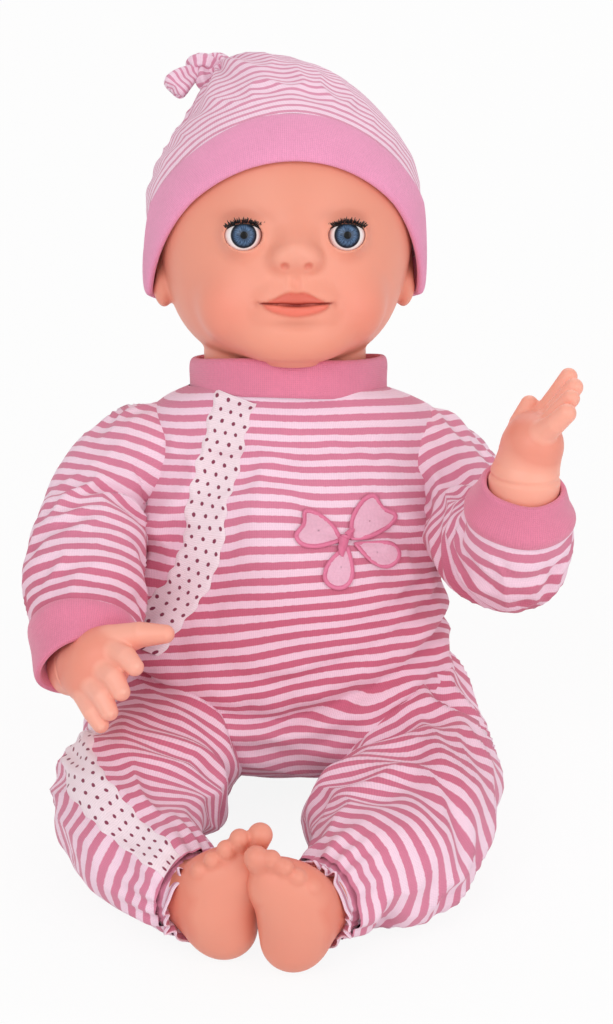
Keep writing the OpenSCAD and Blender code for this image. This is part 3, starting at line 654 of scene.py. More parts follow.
class Effects:
    """The shader node groups that several finishes share."""

    def __init__(self) -> None:
        """Builds each group once."""
        self.knit = self._knit()
        self.stripes = self._stripes()
        self.mottle = self._mottle()
        self.dots = self._dots()

    @staticmethod
    def _group(
        name: str, inputs: dict[str, float | None], outputs: Sequence[str]
    ) -> tuple[Graph, Sequence[Socket], Sequence[Socket]]:
        """Starts a group.

        Args:
            name: Name of the group.
            inputs: Name and value of each input, where a value of None makes a vector.
            outputs: Names of the outputs, all of them numbers.

        Returns:
            The group's graph, the sockets of its inputs and those of its outputs.
        """
        tree = bpy.data.node_groups.new(name, "ShaderNodeTree")
        for label, value in inputs.items():
            kind = "NodeSocketVector" if value is None else "NodeSocketFloat"
            socket = tree.interface.new_socket(label, in_out="INPUT", socket_type=kind)
            if value is not None:
                socket.default_value = value
        for label in outputs:
            tree.interface.new_socket(label, in_out="OUTPUT", socket_type="NodeSocketFloat")
        graph = Graph(tree)
        return graph, graph.add("NodeGroupInput").outputs, graph.add("NodeGroupOutput").inputs

    @staticmethod
    def _mm(g: Graph, coordinate: Socket) -> Socket:
        """A cloth coordinate in mm."""
        return g.math("DIVIDE", coordinate, UV_SCALE)

    def _knit(self) -> Tree:
        """Loops of a knitted cloth.

        Returns:
            The group, which puts out a height and a painted shade that is darker in the hollows between the
            loops and lighter on their tops.
        """
        g, source, sink = self._group("Knit loops", {"Cloth": None, "Wale": 0.55}, ["Height", "Shade"])
        u, v, _ = g.parts(source["Cloth"])
        across = g.math("DIVIDE", self._mm(g, u), source["Wale"])
        along = g.math("DIVIDE", self._mm(g, v), source["Wale"])
        leg = g.math("ABSOLUTE", g.math("SUBTRACT", g.math("FRACT", across), 0.5))
        chevron = g.math("SINE", g.math("MULTIPLY", g.math("ADD", along, leg), TAU))
        rib = g.math("SUBTRACT", 1.0, g.math("MULTIPLY", leg, 2.0))
        height = g.math("MULTIPLY_ADD", chevron, 0.3, rib)
        g.put(sink["Height"], height)
        # Painted shade: the colour follows the loops' height, darker in the hollows between them and lighter
        # on their tops
        g.put(sink["Shade"], g.math("MULTIPLY_ADD", height, 0.12, 0.93))
        return g.tree

    def _stripes(self) -> Tree:
        """Knitted-in stripes with slightly uneven edges.

        Returns:
            The group, which puts out 1 in the dark stripes.
        """
        g, source, sink = self._group("Stripes", {"Cloth": None, "Period": 5.4, "Share": 0.5}, ["Mask"])
        v = g.parts(source["Cloth"])[1]
        wander = g.math("SUBTRACT", g.noise(source["Cloth"], 60.0), 0.5)
        place = g.math("MULTIPLY_ADD", wander, 0.5, self._mm(g, v))
        turn = g.math("FRACT", g.math("DIVIDE", place, source["Period"]))
        off = g.math("ABSOLUTE", g.math("SUBTRACT", turn, 0.5))
        half = g.math("MULTIPLY", source["Share"], 0.5)
        edge = g.smooth(off, g.math("SUBTRACT", half, 0.035), g.math("ADD", half, 0.035))
        g.put(sink["Mask"], g.math("SUBTRACT", 1.0, edge))
        return g.tree

    def _mottle(self) -> Tree:
        """Slow unevenness for colour and roughness.

        Returns:
            The group, which puts out a factor around 1.
        """
        g, source, sink = self._group("Mottle", {"Place": None, "Scale": 60.0, "Amount": 0.1}, ["Factor"])
        wave = g.math("SUBTRACT", g.noise(source["Place"], source["Scale"], 3.0), 0.5)
        g.put(sink["Factor"], g.math("MULTIPLY_ADD", wave, source["Amount"], 1.0))
        return g.tree

    def _dots(self) -> Tree:
        """Staggered small oval dots with worn edges, and the fine ribs of a grosgrain.

        Returns:
            The group, which puts out 1 in the dots, and the ribs.
        """
        g, source, sink = self._group("Dotted ribbon", {"Cloth": None, "Pitch": 4.6}, ["Mask", "Ribs"])
        u, v, _ = g.parts(source["Cloth"])
        down = self._mm(g, v)
        row = g.math("DIVIDE", down, source["Pitch"])
        shift = g.math("MULTIPLY", g.math("FLOORED_MODULO", g.math("FLOOR", row), 2.0), 0.5)
        column = g.math("ADD", g.math("DIVIDE", self._mm(g, u), source["Pitch"]), shift)
        dx = g.math("SUBTRACT", g.math("FRACT", column), 0.5)
        dy = g.math("MULTIPLY", g.math("SUBTRACT", g.math("FRACT", row), 0.5), 0.8)
        far = g.math("SQRT", g.math("ADD", g.math("POWER", dx, 2.0), g.math("POWER", dy, 2.0)))
        ragged = g.math("MULTIPLY_ADD", g.noise(source["Cloth"], 140.0), 0.06, far)
        g.put(sink["Mask"], g.math("SUBTRACT", 1.0, g.smooth(ragged, 0.155, 0.21)))
        g.put(sink["Ribs"], g.math("SINE", g.math("MULTIPLY", down, TAU / 0.8)))
        return g.tree


class Surface:
    """A material in the making, with its Principled shader and its coordinates."""

    def __init__(self, name: str, roughness: float, fx: Effects, **values: object) -> None:
        """Starts the material.

        Args:
            name: Name of the material.
            roughness: Its plain roughness.
            fx: The shared effects.
            **values: Other inputs of the shader, by name with underscores for spaces.
        """
        self.made = bpy.data.materials.new(name)
        self.made.use_nodes = True
        self.fx = fx
        self.g = Graph(self.made.node_tree)
        self.roughness = roughness
        self.inputs = self.made.node_tree.nodes["Principled BSDF"].inputs
        self.inputs["Roughness"].default_value = roughness
        for label, value in values.items():
            self.inputs[label.replace("_", " ")].default_value = value

    def cloth(self) -> Socket:
        """The piece's own cloth coordinates."""
        return self.g.add("ShaderNodeUVMap", uv_map=UV_NAME).outputs[0]

    def place(self) -> Socket:
        """The piece's Object coordinates."""
        return self.g.add("ShaderNodeTexCoord").outputs["Object"]

    def wear(self, scale: float, amount: float) -> Socket:
        """Unevenness around 1 of a scale and an amount."""
        return self.g.use(self.fx.mottle, Place=self.place(), Scale=scale, Amount=amount)["Factor"]

    def coat(self, colour: Socket, uneven: Socket) -> None:
        """Lays on the colour, and makes the roughness uneven."""
        self.g.put(self.inputs["Base Color"], colour)
        self.g.put(self.inputs["Roughness"], self.g.math("MULTIPLY", uneven, self.roughness))

    def bump(self, height: Socket, depth: float, strength: float) -> Material:
        """Lets a height change the normal.

        Args:
            height: The height, from 0 to 1.
            depth: What it stands for in mm.
            strength: Share of it that shows.

        Returns:
            The finished material.
        """
        values = {"Distance": depth * MM, "Strength": strength, "Height": height}
        self.g.put(self.inputs["Normal"], self.g.add("ShaderNodeBump", values).outputs[0])
        return self.made


@dataclass(frozen=True)
class Jersey:
    """Fine striped jersey, with the stripes' period in mm, and painted shade that gives both stripes darker
    colours in a band over the lap and lower belly.
    """

    name: str
    light: Colour
    dark: Colour
    period: float
    share: float
    # Pale and dark stripes inside the painted shade over the lap and lower belly, which fades out between the
    # heights in metres below
    light_in_shade: Colour
    deep: Colour
    belly_top: tuple[float, float] = (0.135, 0.09)
    belly_low: tuple[float, float] = (0.03, 0.065)

    def material(self, fx: Effects) -> Material:
        """Makes the material.

        Args:
            fx: The shared effects.

        Returns:
            The material.
        """
        made = Surface(self.name, 0.85, fx, Sheen_Weight=0.25, Sheen_Roughness=0.5, Specular_IOR_Level=0.25)
        g, cloth = made.g, made.cloth()
        mask = g.use(fx.stripes, Cloth=cloth, Period=self.period, Share=self.share)["Mask"]
        knit = g.use(fx.knit, Cloth=cloth, Wale=0.62)
        wear = made.wear(45.0, 0.12)
        height = g.parts(made.place())[2]
        # Painted shade: a band of height over the lap and lower belly where both stripes take their darker
        # colours
        belly = g.math("MULTIPLY", g.smooth(height, *self.belly_top), g.smooth(height, *self.belly_low))
        stripes = g.mix(mask, g.mix(belly, self.light, self.light_in_shade), g.mix(belly, self.dark, self.deep))
        # Painted shade of the knit loops, times random unevenness
        made.coat(g.tinted(stripes, g.math("MULTIPLY", knit["Shade"], wear)), wear)
        return made.bump(knit["Height"], 0.16, 0.6)


@dataclass(frozen=True)
class Rib:
    """Plain rib knit of the collar, cuffs and brim."""

    name: str
    colour: Colour
    wale: float = 0.8

    def material(self, fx: Effects) -> Material:
        """Makes the material.

        Args:
            fx: The shared effects.

        Returns:
            The material.
        """
        made = Surface(self.name, 0.88, fx, Sheen_Weight=0.3, Sheen_Roughness=0.5, Specular_IOR_Level=0.25)
        g = made.g
        knit = g.use(fx.knit, Cloth=made.cloth(), Wale=self.wale)
        fuzz = made.wear(900.0, 0.16)
        wear = made.wear(50.0, 0.12)
        # Painted shade of the knit loops, times random unevenness and fuzz
        shade = g.math("MULTIPLY", g.math("MULTIPLY", knit["Shade"], wear), fuzz)
        made.coat(g.tinted(self.colour, shade), wear)
        return made.bump(knit["Height"], 0.2, 0.7)


@dataclass(frozen=True)
class Ribbon:
    """Pale grosgrain ribbon with small dark dots."""

    name: str
    base: Colour
    dot: Colour
    pitch: float = 4.4

    def material(self, fx: Effects) -> Material:
        """Makes the material.

        Args:
            fx: The shared effects.

        Returns:
            The material.
        """
        made = Surface(self.name, 0.6, fx, Sheen_Weight=0.2, Specular_IOR_Level=0.3)
        g = made.g
        dots = g.use(fx.dots, Cloth=made.cloth(), Pitch=self.pitch)
        wear = made.wear(60.0, 0.1)
        # Painted shade along the grosgrain's ribs, by up to 3 percent, times random unevenness
        shade = g.math("MULTIPLY", g.math("MULTIPLY_ADD", dots["Ribs"], 0.03, 0.97), wear)
        made.coat(g.tinted(g.mix(dots["Mask"], self.base, self.dot), shade), wear)
        return made.bump(dots["Ribs"], 0.08, 0.6)


@dataclass(frozen=True)
class Vinyl:
    """Soft vinyl skin, painted point by point."""

    name: str
    glow: Triple = (1.0, 0.4, 0.25)

    def material(self, fx: Effects) -> Material:
        """Makes the material.

        Args:
            fx: The shared effects.

        Returns:
            The material.
        """
        soft = {"Subsurface_Weight": 0.12, "Subsurface_Scale": 0.004, "Subsurface_Radius": self.glow}
        made = Surface(self.name, 0.46, fx, **soft)
        colour = made.g.add("ShaderNodeAttribute", attribute_name=PAINT).outputs["Color"]
        slow = made.wear(35.0, 0.06)
        made.coat(made.g.tinted(colour, slow), slow)
        return made.bump(made.wear(1400.0, 0.25), 0.05, 0.35)


@dataclass(frozen=True)
class Plain:
    """One-coloured finish with slow unevenness, for thread, bristle, plastic and metal."""

    name: str
    colour: Colour
    roughness: float
    metallic: float = 0.0
    scale: float = 400.0
    depth: float = 0.03

    def material(self, fx: Effects) -> Material:
        """Makes the material.

        Args:
            fx: The shared effects.

        Returns:
            The material.
        """
        made = Surface(self.name, self.roughness, fx, Metallic=self.metallic)
        grain = made.wear(self.scale, 0.3)
        made.coat(made.g.tinted(self.colour, made.wear(80.0, 0.14)), grain)
        return made.bump(grain, self.depth, 0.4)


@dataclass(frozen=True)
class EyeGloss:
    """Glossy eyeball with its painted iris below and a skin-coloured lid above."""

    name: str
    centre: Triple
    lid: Colour = linear(232, 146, 122)
    streaks: tuple[Colour, Colour] = (linear(32, 50, 78), linear(92, 122, 158))
    ring: Colour = linear(18, 24, 38)
    shade: Colour = linear(38, 46, 62)
    pupil: Colour = linear(6, 6, 8)
    # Whites in the middle, and darker and pinker in the painted shade towards the lids
    white_to_lid_shade: tuple[Colour, Colour] = (linear(244, 236, 236), linear(232, 196, 190))
    back: Colour = linear(236, 228, 226)
    iris_r: float = 5.1
    pupil_r: float = 1.5
    lid_angle: float = math.radians(35.0)

    def iris(self, g: Graph, far: Socket, turn: Socket) -> Socket:
        """Paints the iris and the pupil.

        Args:
            g: The material's graph.
            far: Distance from the eye's axis in mm.
            turn: Angle round the axis.

        Returns:
            The colour.
        """
        streak = g.noise(g.vector(g.math("MULTIPLY", turn, 7.0), g.math("MULTIPLY", far, 0.35)), 1.6, 4.0)
        colour = g.mix(g.smooth(streak, 0.32, 0.68), *self.streaks)
        colour = g.mix(g.smooth(far, self.iris_r - 1.9, self.iris_r - 0.4), colour, self.ring)
        inner = g.math("SUBTRACT", 1.0, g.smooth(far, self.pupil_r + 0.1, self.pupil_r + 1.4))
        colour = g.mix(g.math("MULTIPLY", inner, 0.55), colour, self.shade)
        return g.mix(g.smooth(far, self.pupil_r - 0.12, self.pupil_r + 0.12), self.pupil, colour)

    def material(self, fx: Effects) -> Material:
        """Makes the material, with the pattern laid round the eye's own axis.

        Args:
            fx: The shared effects.

        Returns:
            The material.
        """
        made = Surface(self.name, 0.2, fx, Specular_IOR_Level=0.18, Coat_Roughness=0.05)
        g = made.g
        turn = Matrix.Rotation(-RECLINE, 3, "X") @ Matrix.Rotation(HEAD_YAW, 3, "Z")
        axes = {"Location": self.centre, "Rotation": turn.to_euler(), "Scale": (MM, MM, MM)}
        place = {"Vector": made.place()} | axes
        x, y, z = g.parts(g.add("ShaderNodeMapping", place, vector_type="TEXTURE").outputs[0])
        far = g.math("SQRT", g.math("ADD", g.math("MULTIPLY", x, x), g.math("MULTIPLY", z, z)))
        iris = self.iris(g, far, g.math("ARCTAN2", z, x))
        # Painted shade: the whites grow darker and pinker towards the lids
        white = g.mix(g.smooth(far, 5.0, 8.0), *self.white_to_lid_shade)
        front = g.mix(g.smooth(far, self.iris_r - 0.2, self.iris_r + 0.2), iris, white)
        front = g.mix(g.math("GREATER_THAN", y, 0.0), front, self.back)
        lift = g.math("MULTIPLY", y, -math.tan(self.lid_angle))
        cover = g.smooth(g.math("SUBTRACT", z, lift), -0.1, 0.1)
        g.put(made.inputs["Base Color"], g.mix(cover, front, self.lid))
        g.put(made.inputs["Roughness"], g.math("MULTIPLY_ADD", cover, 0.25, 0.2))
        g.put(made.inputs["Coat Weight"], g.math("MULTIPLY_ADD", cover, -0.12, 0.12))
        return made.made


SKIN = linear(238, 155, 131)


class Wardrobe:
    """Every finish of the doll, made once and kept by name."""

    def __init__(self) -> None:
        """Makes the shared effects and the finishes that need no place."""
        self.fx = fx = Effects()
        # The romper jersey's last two colours are its pale and rose stripes darkened as painted shade over
        # the lap and lower belly
        pale, rose, deep = linear(250, 217, 234), linear(220, 132, 160), linear(206, 100, 128)
        hat_rose, light_in_shade = linear(224, 150, 178), linear(245, 202, 220)
        self.romper = Jersey("romper jersey", pale, rose, 5.45, 0.5, light_in_shade, deep).material(fx)
        self.hat = Jersey("hat jersey", pale, hat_rose, 3.1, 0.4, pale, rose).material(fx)
        self.band = Rib("pink rib", linear(230, 132, 162)).material(fx)
        self.brim = Rib("brim rib", linear(243, 158, 196)).material(fx)
        self.ribbon = Ribbon("dotted ribbon", linear(245, 224, 232), linear(136, 52, 80)).material(fx)
        self.skin = Vinyl("vinyl skin").material(fx)
        self.wing = Rib("patch cloth", linear(245, 190, 212), 0.5).material(fx)
        self.thread = Plain("satin thread", linear(226, 122, 158), 0.35, scale=2500.0).material(fx)
        self.lash = Plain("lash bristle", linear(24, 18, 18), 0.5).material(fx)
        self.tape = Rib("closure tape", linear(224, 140, 168), 1.2).material(fx)
        self.white = Plain("white plastic", linear(226, 226, 222), 0.42).material(fx)
        self.dark = Plain("dark plastic", linear(44, 44, 48), 0.5).material(fx)
        self.steel = Plain("steel", linear(190, 190, 196), 0.3, metallic=1.0).material(fx)
        self.board = Plain("board green", linear(38, 108, 62), 0.45).material(fx)
        self.cells = Plain("cell wrap", linear(62, 140, 84), 0.3).material(fx)
        self.button = Plain("button red", linear(206, 60, 62), 0.3).material(fx)
        self.lining = Plain("body cloth", linear(236, 228, 220), 0.9, scale=1200.0, depth=0.1).material(fx)


@dataclass
class Tube:
    """A limb of cloth: sections of [x, y, z, direction of three, radius] and a turn reference."""

    stations: Sequence[Row]
    ref: Triple
    rows: int
    cols: int

    def __post_init__(self) -> None:
        """Runs the smooth line through the sections."""
        line = spline(self.stations, self.rows)
        self.centre = line[:, :3]
        self.way = unit(line[:, 3:6])
        self.radius = line[:, 6]
        self.along = lengths(self.centre)
        self.angle = around(self.cols)
        e1 = unit(np.cross(self.way, np.array(self.ref)))
        e2 = np.cross(self.way, e1)
        c, s = np.cos(self.angle)[None, :, None], np.sin(self.angle)[None, :, None]
        self.spokes = c * e1[:, None] + s * e2[:, None]

    def rings(self) -> Array:
        """The grid of points."""
        return self.centre[:, None] + self.radius[:, None, None] * self.spokes

    def outward(self, points: Array, side: Side) -> Array:
        """How far points of a grid lie out from the middle line, to the doll's own side."""
        return (points - self.centre[:, None])[..., 0] * side.value

    def end_band(self, profile: Sequence[Row], rows: int, wave: Array) -> Array:
        """A band round the last section.

        Args:
            profile: Pairs of distance past the end and radius, outside first.
            rows: Rows of the finished band.
            wave: Change of radius for each row and column.

        Returns:
            Grid of points.
        """
        line = spline(profile, rows)
        r = line[:, 1:] + wave
        return self.centre[-1] + line[:, :1, None] * self.way[-1] + r[..., None] * self.spokes[-1]


@dataclass
class Folds:
    """Creases in cloth: crossing waves whose depth changes from place to place."""

    size: float
    depth: float
    seed: int
    stretch: Triple

    def height(self, points: Array) -> Array:
        """Height of the folds.

        Args:
            points: Points in mm.

        Returns:
            The height at each point in mm.
        """
        sharp = 1.0 - 2.0 * np.abs(lumps(points * np.array(self.stretch), self.size, self.seed))
        patch = 0.5 + 0.5 * lumps(points, 3.2 * self.size, self.seed + 1)
        return self.depth * sharp * np.clip(patch, 0.0, 1.2)


@dataclass(frozen=True)
class Settle:
    """A short cloth simulation that lets filled cloth puff out and fold."""

    pressure: float = 2.0
    spare: float = 0.07
    frames: int = 14
    cap: float = 3.6

    def settings(self, held: str) -> dict[str, object]:
        """Values of the cloth modifier.

        Args:
            held: Name of the group that holds points.

        Returns:
            The values by their names in Blender.
        """
        stiff = {"tension_stiffness": 12.0, "compression_stiffness": 12.0, "shear_stiffness": 6.0}
        puff = {"use_pressure": True, "uniform_pressure_force": self.pressure, "shrink_min": -self.spare}
        soft = {"quality": 4, "mass": 0.15, "bending_stiffness": 0.3, "vertex_group_mass": held}
        return soft | stiff | puff

    def run(self, obj: Piece, held: Array) -> Array:
        """Settles a piece made from a closed grid, and leaves it as a plain mesh.

        Args:
            obj: The piece.
            held: How firmly each point of the grid stays, from 0 to 1.

        Returns:
            The settled grid of points in mm.
        """
        start = np.empty(3 * held.size)
        obj.data.vertices.foreach_get("co", start)
        points = start.reshape(*held.shape, 3) / MM
        group = obj.vertex_groups.new(name="held")
        steps = np.round(held.ravel(), 1)
        for level in np.unique(steps[steps > 0.0]):
            group.add(np.nonzero(steps == level)[0].tolist(), float(level), "REPLACE")
        cloth = obj.modifiers.new("cloth", "CLOTH")
        for name, value in self.settings(group.name).items():
            setattr(cloth.settings, name, value)
        cloth.settings.effector_weights.gravity = 0.0
        cloth.collision_settings.use_collision = False
        cloth.point_cache.frame_end = self.frames
        scene = bpy.context.scene
        for number in range(1, self.frames + 1):
            scene.frame_set(number)
        shown = obj.evaluated_get(bpy.context.evaluated_depsgraph_get())
        end = np.empty(3 * held.size)
        shown.to_mesh().vertices.foreach_get("co", end)
        shown.to_mesh_clear()
        obj.modifiers.remove(cloth)
        obj.vertex_groups.remove(group)
        scene.frame_set(1)
        move = end.reshape(points.shape) / MM - points
        for _ in range(2):
            move = evened(move)
            move[1:-1] = 0.5 * move[1:-1] + 0.25 * (move[2:] + move[:-2])
        size = np.maximum(np.linalg.norm(move, axis=-1, keepdims=True), 1e-6)
        points = points + move * self.cap * np.tanh(size / self.cap) / size
        obj.data.vertices.foreach_set("co", (points * MM).ravel())
        obj.data.update()
        LOG.info("%s settled by up to %.1f mm", obj.name, float(size.max()))
        return points


# Sections of the arms from the armhole outwards, in the torso frame, for the doll's left side
SHOULDER = ((-12.0, 0.0, 104.0, 1.0, 0.0, 0.0, 22.0), (0.0, 0.0, 104.0, 1.0, 0.0, 0.0, 22.5))
ARMS = {
    Side.LEFT: (
        *SHOULDER,
        (14.6, -6.0, 93.0, 0.72, -0.25, -0.65, 20.0),
        (20.5, -16.0, 82.0, 0.42, -0.6, -0.68, 20.5),
        (26.5, -30.0, 73.0, 0.28, -0.9, -0.33, 21.5),
        (31.5, -43.0, 71.0, 0.2, -0.95, 0.2, 22.0),
        (34.5, -55.0, 77.0, 0.12, -0.72, 0.68, 21.5),
        (35.5, -62.0, 86.5, 0.08, -0.5, 0.86, 20.5),
    ),
    Side.RIGHT: (
        *SHOULDER,
        (14.2, -5.0, 96.0, 0.72, -0.25, -0.65, 19.5),
        (20.4, -16.0, 82.0, 0.3, -0.5, -0.81, 20.5),
        (23.4, -28.0, 67.0, 0.1, -0.6, -0.79, 22.5),
        (23.8, -41.0, 51.0, 0.0, -0.63, -0.78, 22.8),
        (23.0, -51.0, 39.0, 0.0, -0.63, -0.78, 20.5),
    ),
}
ARMHOLE = 56.3

# Middles of the knee, calf and ankle, in the part's frame
LEGS = {
    Side.LEFT: ((62.0, -66.0, 28.0), (50.0, -97.0, 27.0), (24.0, -119.0, 24.0)),
    Side.RIGHT: ((-65.0, -66.0, 28.0), (-57.5, -97.0, 27.0), (-41.0, -118.0, 24.0)),
}
THIGH_R = 30.0
UP = np.array([0.0, 0.0, 1.0])


def arm_tube(side: Side, cols: int = 96) -> Tube:
    """The sleeve's tube in the torso frame.

    Args:
        side: The doll's own side.
        cols: Points in each ring.

    Returns:
        The tube, from inside the armhole to the wrist.
    """
    k = side.value
    stations = [(k * (ARMHOLE + s[0]), s[1], s[2], k * s[3], *s[4:]) for s in ARMS[side]]
    return Tube(stations, (0.7 * k, 0.0, 0.7), 96, cols)


def leg_tube(side: Side, rows: int = 120, cols: int = 112) -> Tube:
    """The trouser leg's tube in the part's frame.

    Args:
        side: The doll's own side.
        rows: Rings along the leg.
        cols: Points in each ring.

    Returns:
        The tube, from the round end in the hip to the hem.
    """
    k = side.value
    hip = np.array([38.0 * k, 0.0, 30.5])
    thigh = np.array([0.42 * k, -0.907, 0.0])
    shin = np.array([-0.7 * k, -0.71, 0.0])
    knee, calf, ankle = LEGS[side]
    hem = ankle + side.pick(10.9, 7.6) * shin - 1.5 * UP
    cap = [(-THIGH_R * math.sin(a), 0.0, THIGH_R * math.cos(a)) for a in (1.1, 0.66, 0.31, 0.0)]
    upper = (*cap, (22.0, 0.7, 29.3), (44.0, 1.6, 28.4))
    stations = [[*(hip + reach * thigh - drop * UP), *thigh, r] for reach, drop, r in upper]
    stations += [[*knee, 0.08 * k, -1.0, 0.0, 27.4], [*calf, -0.5 * k, -0.86, 0.0, 25.0]]
    stations += [[*ankle, *shin, 20.0], [*hem, *shin, 16.8]]
    return Tube(stations, (0.0, 0.0, 1.0), rows, cols)


def waves_at(place: Array, rows: Sequence[Triple]) -> Array:
    """Sum of bells, each given by its height, its place and its width."""
    return sum(high * bell(place, at, width) for high, at, width in rows)


@dataclass
class Romper:
    """The striped romper: bodice, sleeves and trouser legs with their bands and frills."""

    wear: Wardrobe
    rows: int = 150
    cols: int = 200
    cuff_h: float = 14.0
    cap: float = 44.0
    mouth_r: float = 15.8
    fillet: float = 26.0
    belly_low: float = 28.0
    settle: Settle = Settle()
    firm_settle: Settle = Settle(pressure=3.5)
    # Height above the hip line, and reach to the right, left, front and back
    sections: Sequence[Row] = (
        (-25.0, 4.0, 4.0, 4.0, 4.0),
        (-24.0, 30.0, 32.0, 24.0, 28.0),
        (-21.5, 46.0, 50.0, 36.0, 41.0),
        (-17.0, 55.0, 60.0, 43.0, 46.0),
        (-10.0, 59.5, 65.0, 47.0, 48.5),
        (12.0, 61.0, 68.0, 49.0, 49.0),
        (38.0, 61.0, 67.0, 48.0, 46.0),
        (62.0, 62.0, 65.0, 46.0, 44.0),
        (80.0, 61.5, 63.0, 44.0, 42.0),
        (97.5, 59.5, 64.0, 40.5, 39.0),
        (113.5, 58.0, 67.0, 37.0, 37.0),
        (123.5, 55.0, 62.0, 35.5, 36.0),
        (129.5, 49.0, 52.0, 38.0, 38.0),
        (134.0, 39.5, 39.5, 39.5, 39.5),
    )
    # Height of each fold, its place above the crease between belly and lap, and its width
    lap_folds: Sequence[Triple] = ((3.2, 7.0, 5.5), (-4.6, -0.5, 2.4), (2.2, -6.5, 3.6))
    low_folds: Sequence[Triple] = ((1.5, 20.0, 3.4), (-1.7, 14.5, 2.2))
    high_folds: Sequence[Triple] = ((1.2, 31.0, 3.4), (-1.5, 26.0, 2.2))
    # Height above the neck seam and radius, from outside over the fold to the inside
    collar_line: Sequence[Row] = (
        (-3.2, 40.2), (-1.5, 41.3), (3.0, 41.4), (8.0, 41.6), (11.0, 41.1), (12.2, 39.6),
        (11.2, 37.9), (5.0, 37.0),
    )
    leg_grid: dict[Side, Array] = field(default_factory=dict)
    body_grid: Array | None = None

    def __post_init__(self) -> None:
        """Runs the smooth line through the sections."""
        self.line = spline(self.sections, self.rows)
        self.fine_line = spline(self.sections, 400)

    def torso_grid(self) -> Array:
        """The bodice without folds.

        Returns:
            Grid of points in the torso frame.
        """
        a = around(self.cols)
        wide = np.where(np.cos(a) < 0.0, self.line[:, 1:2], self.line[:, 2:3])
        deep = np.where(np.sin(a) < 0.0, self.line[:, 3:4], self.line[:, 4:5])
        height = np.broadcast_to(self.line[:, 0:1], wide.shape)
        return np.stack([wide * np.cos(a), deep * np.sin(a), height], axis=-1)

    def front_at(self, x: Array, t: Array, off: Array | float, side: int = -1) -> Array:
        """Points on the settled bodice's front or back, in the part's frame.

        Args:
            x: Distance to the doll's left.
            t: Height above the hip line.
            off: Distance out from the surface.
            side: -1 for the front and 1 for the back.

        Returns:
            The points.
        """
        tables = (*self.line.T[1:3], np.arange(self.rows))
        right, left, row = (np.interp(t, self.line[:, 0], table) for table in tables)
        wide = np.where(x < 0.0, right, left)
        col = side * np.arccos(np.clip(x / wide, -1.0, 1.0)) / TAU * self.cols
        way = sampled(grid_normals(self.body_grid), row, col)
        return sampled(self.body_grid, row, col) + (off + 0.0 * x)[..., None] * way

    def near_torso(self, points: Array) -> Array:
        """Nearly the distance to the bodice.

        Args:
            points: Points in the part's frame.

        Returns:
            The distance of each point.
        """
        q = row_to_torso(points)
        level, *reaches = self.fine_line.T
        right, left, front, back = (np.interp(q[..., 2], level, reach) for reach in reaches)
        wide = np.where(q[..., 0] < 0.0, right, left)
        deep = np.where(q[..., 1] < 0.0, front, back)
        return (np.hypot(q[..., 0] / wide, q[..., 1] / deep) - 1.0) * np.minimum(wide, deep)

    @staticmethod
    def near_legs(points: Array) -> Array:
        """Distance to the nearer leg.

        Args:
            points: Points in the part's frame.

        Returns:
            The distance of each point.
        """
        best = np.full(points.shape[:-1], 1e3)
        for tube in (leg_tube(side, rows=60) for side in Side):
            for c, r in zip(tube.centre, tube.radius):
                best = np.minimum(best, sphere(points, c, r))
        return best

    def rounding(self, gap: Array) -> Array:
        """How far cloth stands out where another part of the romper is a gap away."""
        return 0.25 * self.fillet * np.clip(1.0 - gap / self.fillet, 0.0, 1.0) ** 2

    @staticmethod
    def above_crease(x: Array, t: Array) -> Array:
        """Height above the crease between belly and lap."""
        rise = np.where(x > 0.0, 33.0, 18.0) * (np.abs(x) / 62.0) ** 1.6
        return t - 3.0 - rise - 1.2 * np.sin(x / 11.0)

    def level_at(self, points: Array) -> Array:
        """Cloth coordinate down the bodice, with a shift at the crease.

        Args:
            points: Points in the torso frame.

        Returns:
            The coordinate of each point in mm.
        """
        x, y, t = np.moveaxis(points, -1, 0)
        front = ramp(-y, -10.0, 20.0)
        below = 1.0 - ramp(self.above_crease(x, t), -6.0, 3.0)
        lap = front * below * (1.0 - ramp(np.abs(x), 26.0, 48.0))
        slant = 0.15 * x * (1.0 - ramp(t, 25.0, 75.0)) * front
        return t - slant * (1.0 - lap) + lap * (0.04 * x + 2.0) + 0.8 * lumps(points, 50.0, 9)

    def spare_length(self, points: Array, t: Array) -> Array:
        """Cloth below the belly beyond what its height needs, summed down each column and evened out.

        Args:
            points: Grid of points in the torso frame.
            t: Height of each point before it was folded.

        Returns:
            The spare length of each point in mm.
        """
        step = np.linalg.norm(np.diff(points, axis=0), axis=-1) - np.diff(t, axis=0)
        step = np.clip(step, 0.0, None) * (t[1:] < self.belly_low)
        return evened(np.concatenate([np.cumsum(step[::-1], axis=0)[::-1], np.zeros_like(step[:1])]), 16)

    def fold_height(self, points: Array) -> Array:
        """Height of the bodice's folds.

        Args:
            points: Points in the torso frame.

        Returns:
            The height at each point in mm.
        """
        x, y, t = np.moveaxis(points, -1, 0)
        e = self.above_crease(x, t)
        height = waves_at(e, self.lap_folds)
        height += waves_at(e, self.low_folds) * ramp(x, -20.0, 20.0)
        height += waves_at(e, self.high_folds) * ramp(x, 0.0, 35.0)
        height -= 1.6 * bell(e, -13.0, 2.4) * ramp(np.abs(x), 8.0, 24.0)
        height *= (0.85 + 0.4 * lumps(points, 40.0, 12)) * ramp(-y, -6.0, 16.0)
        height += self.rounding(self.near_legs(torso_to_row(points))) * ramp(t, -20.0, -4.0)
        soft = Folds(26.0, 0.9, 3, (0.6, 1.0, 1.4)).height(points) + 0.8 * lumps(points, 70.0, 5)
        height += soft * (1.0 - ramp(t, 100.0, 124.0))
        flank = ramp(np.abs(x), 34.0, 52.0) * bell(t, 72.0, 24.0)
        return height + 1.4 * flank * np.sin(t / 3.6 + 0.12 * np.abs(x) + 0.08 * y)

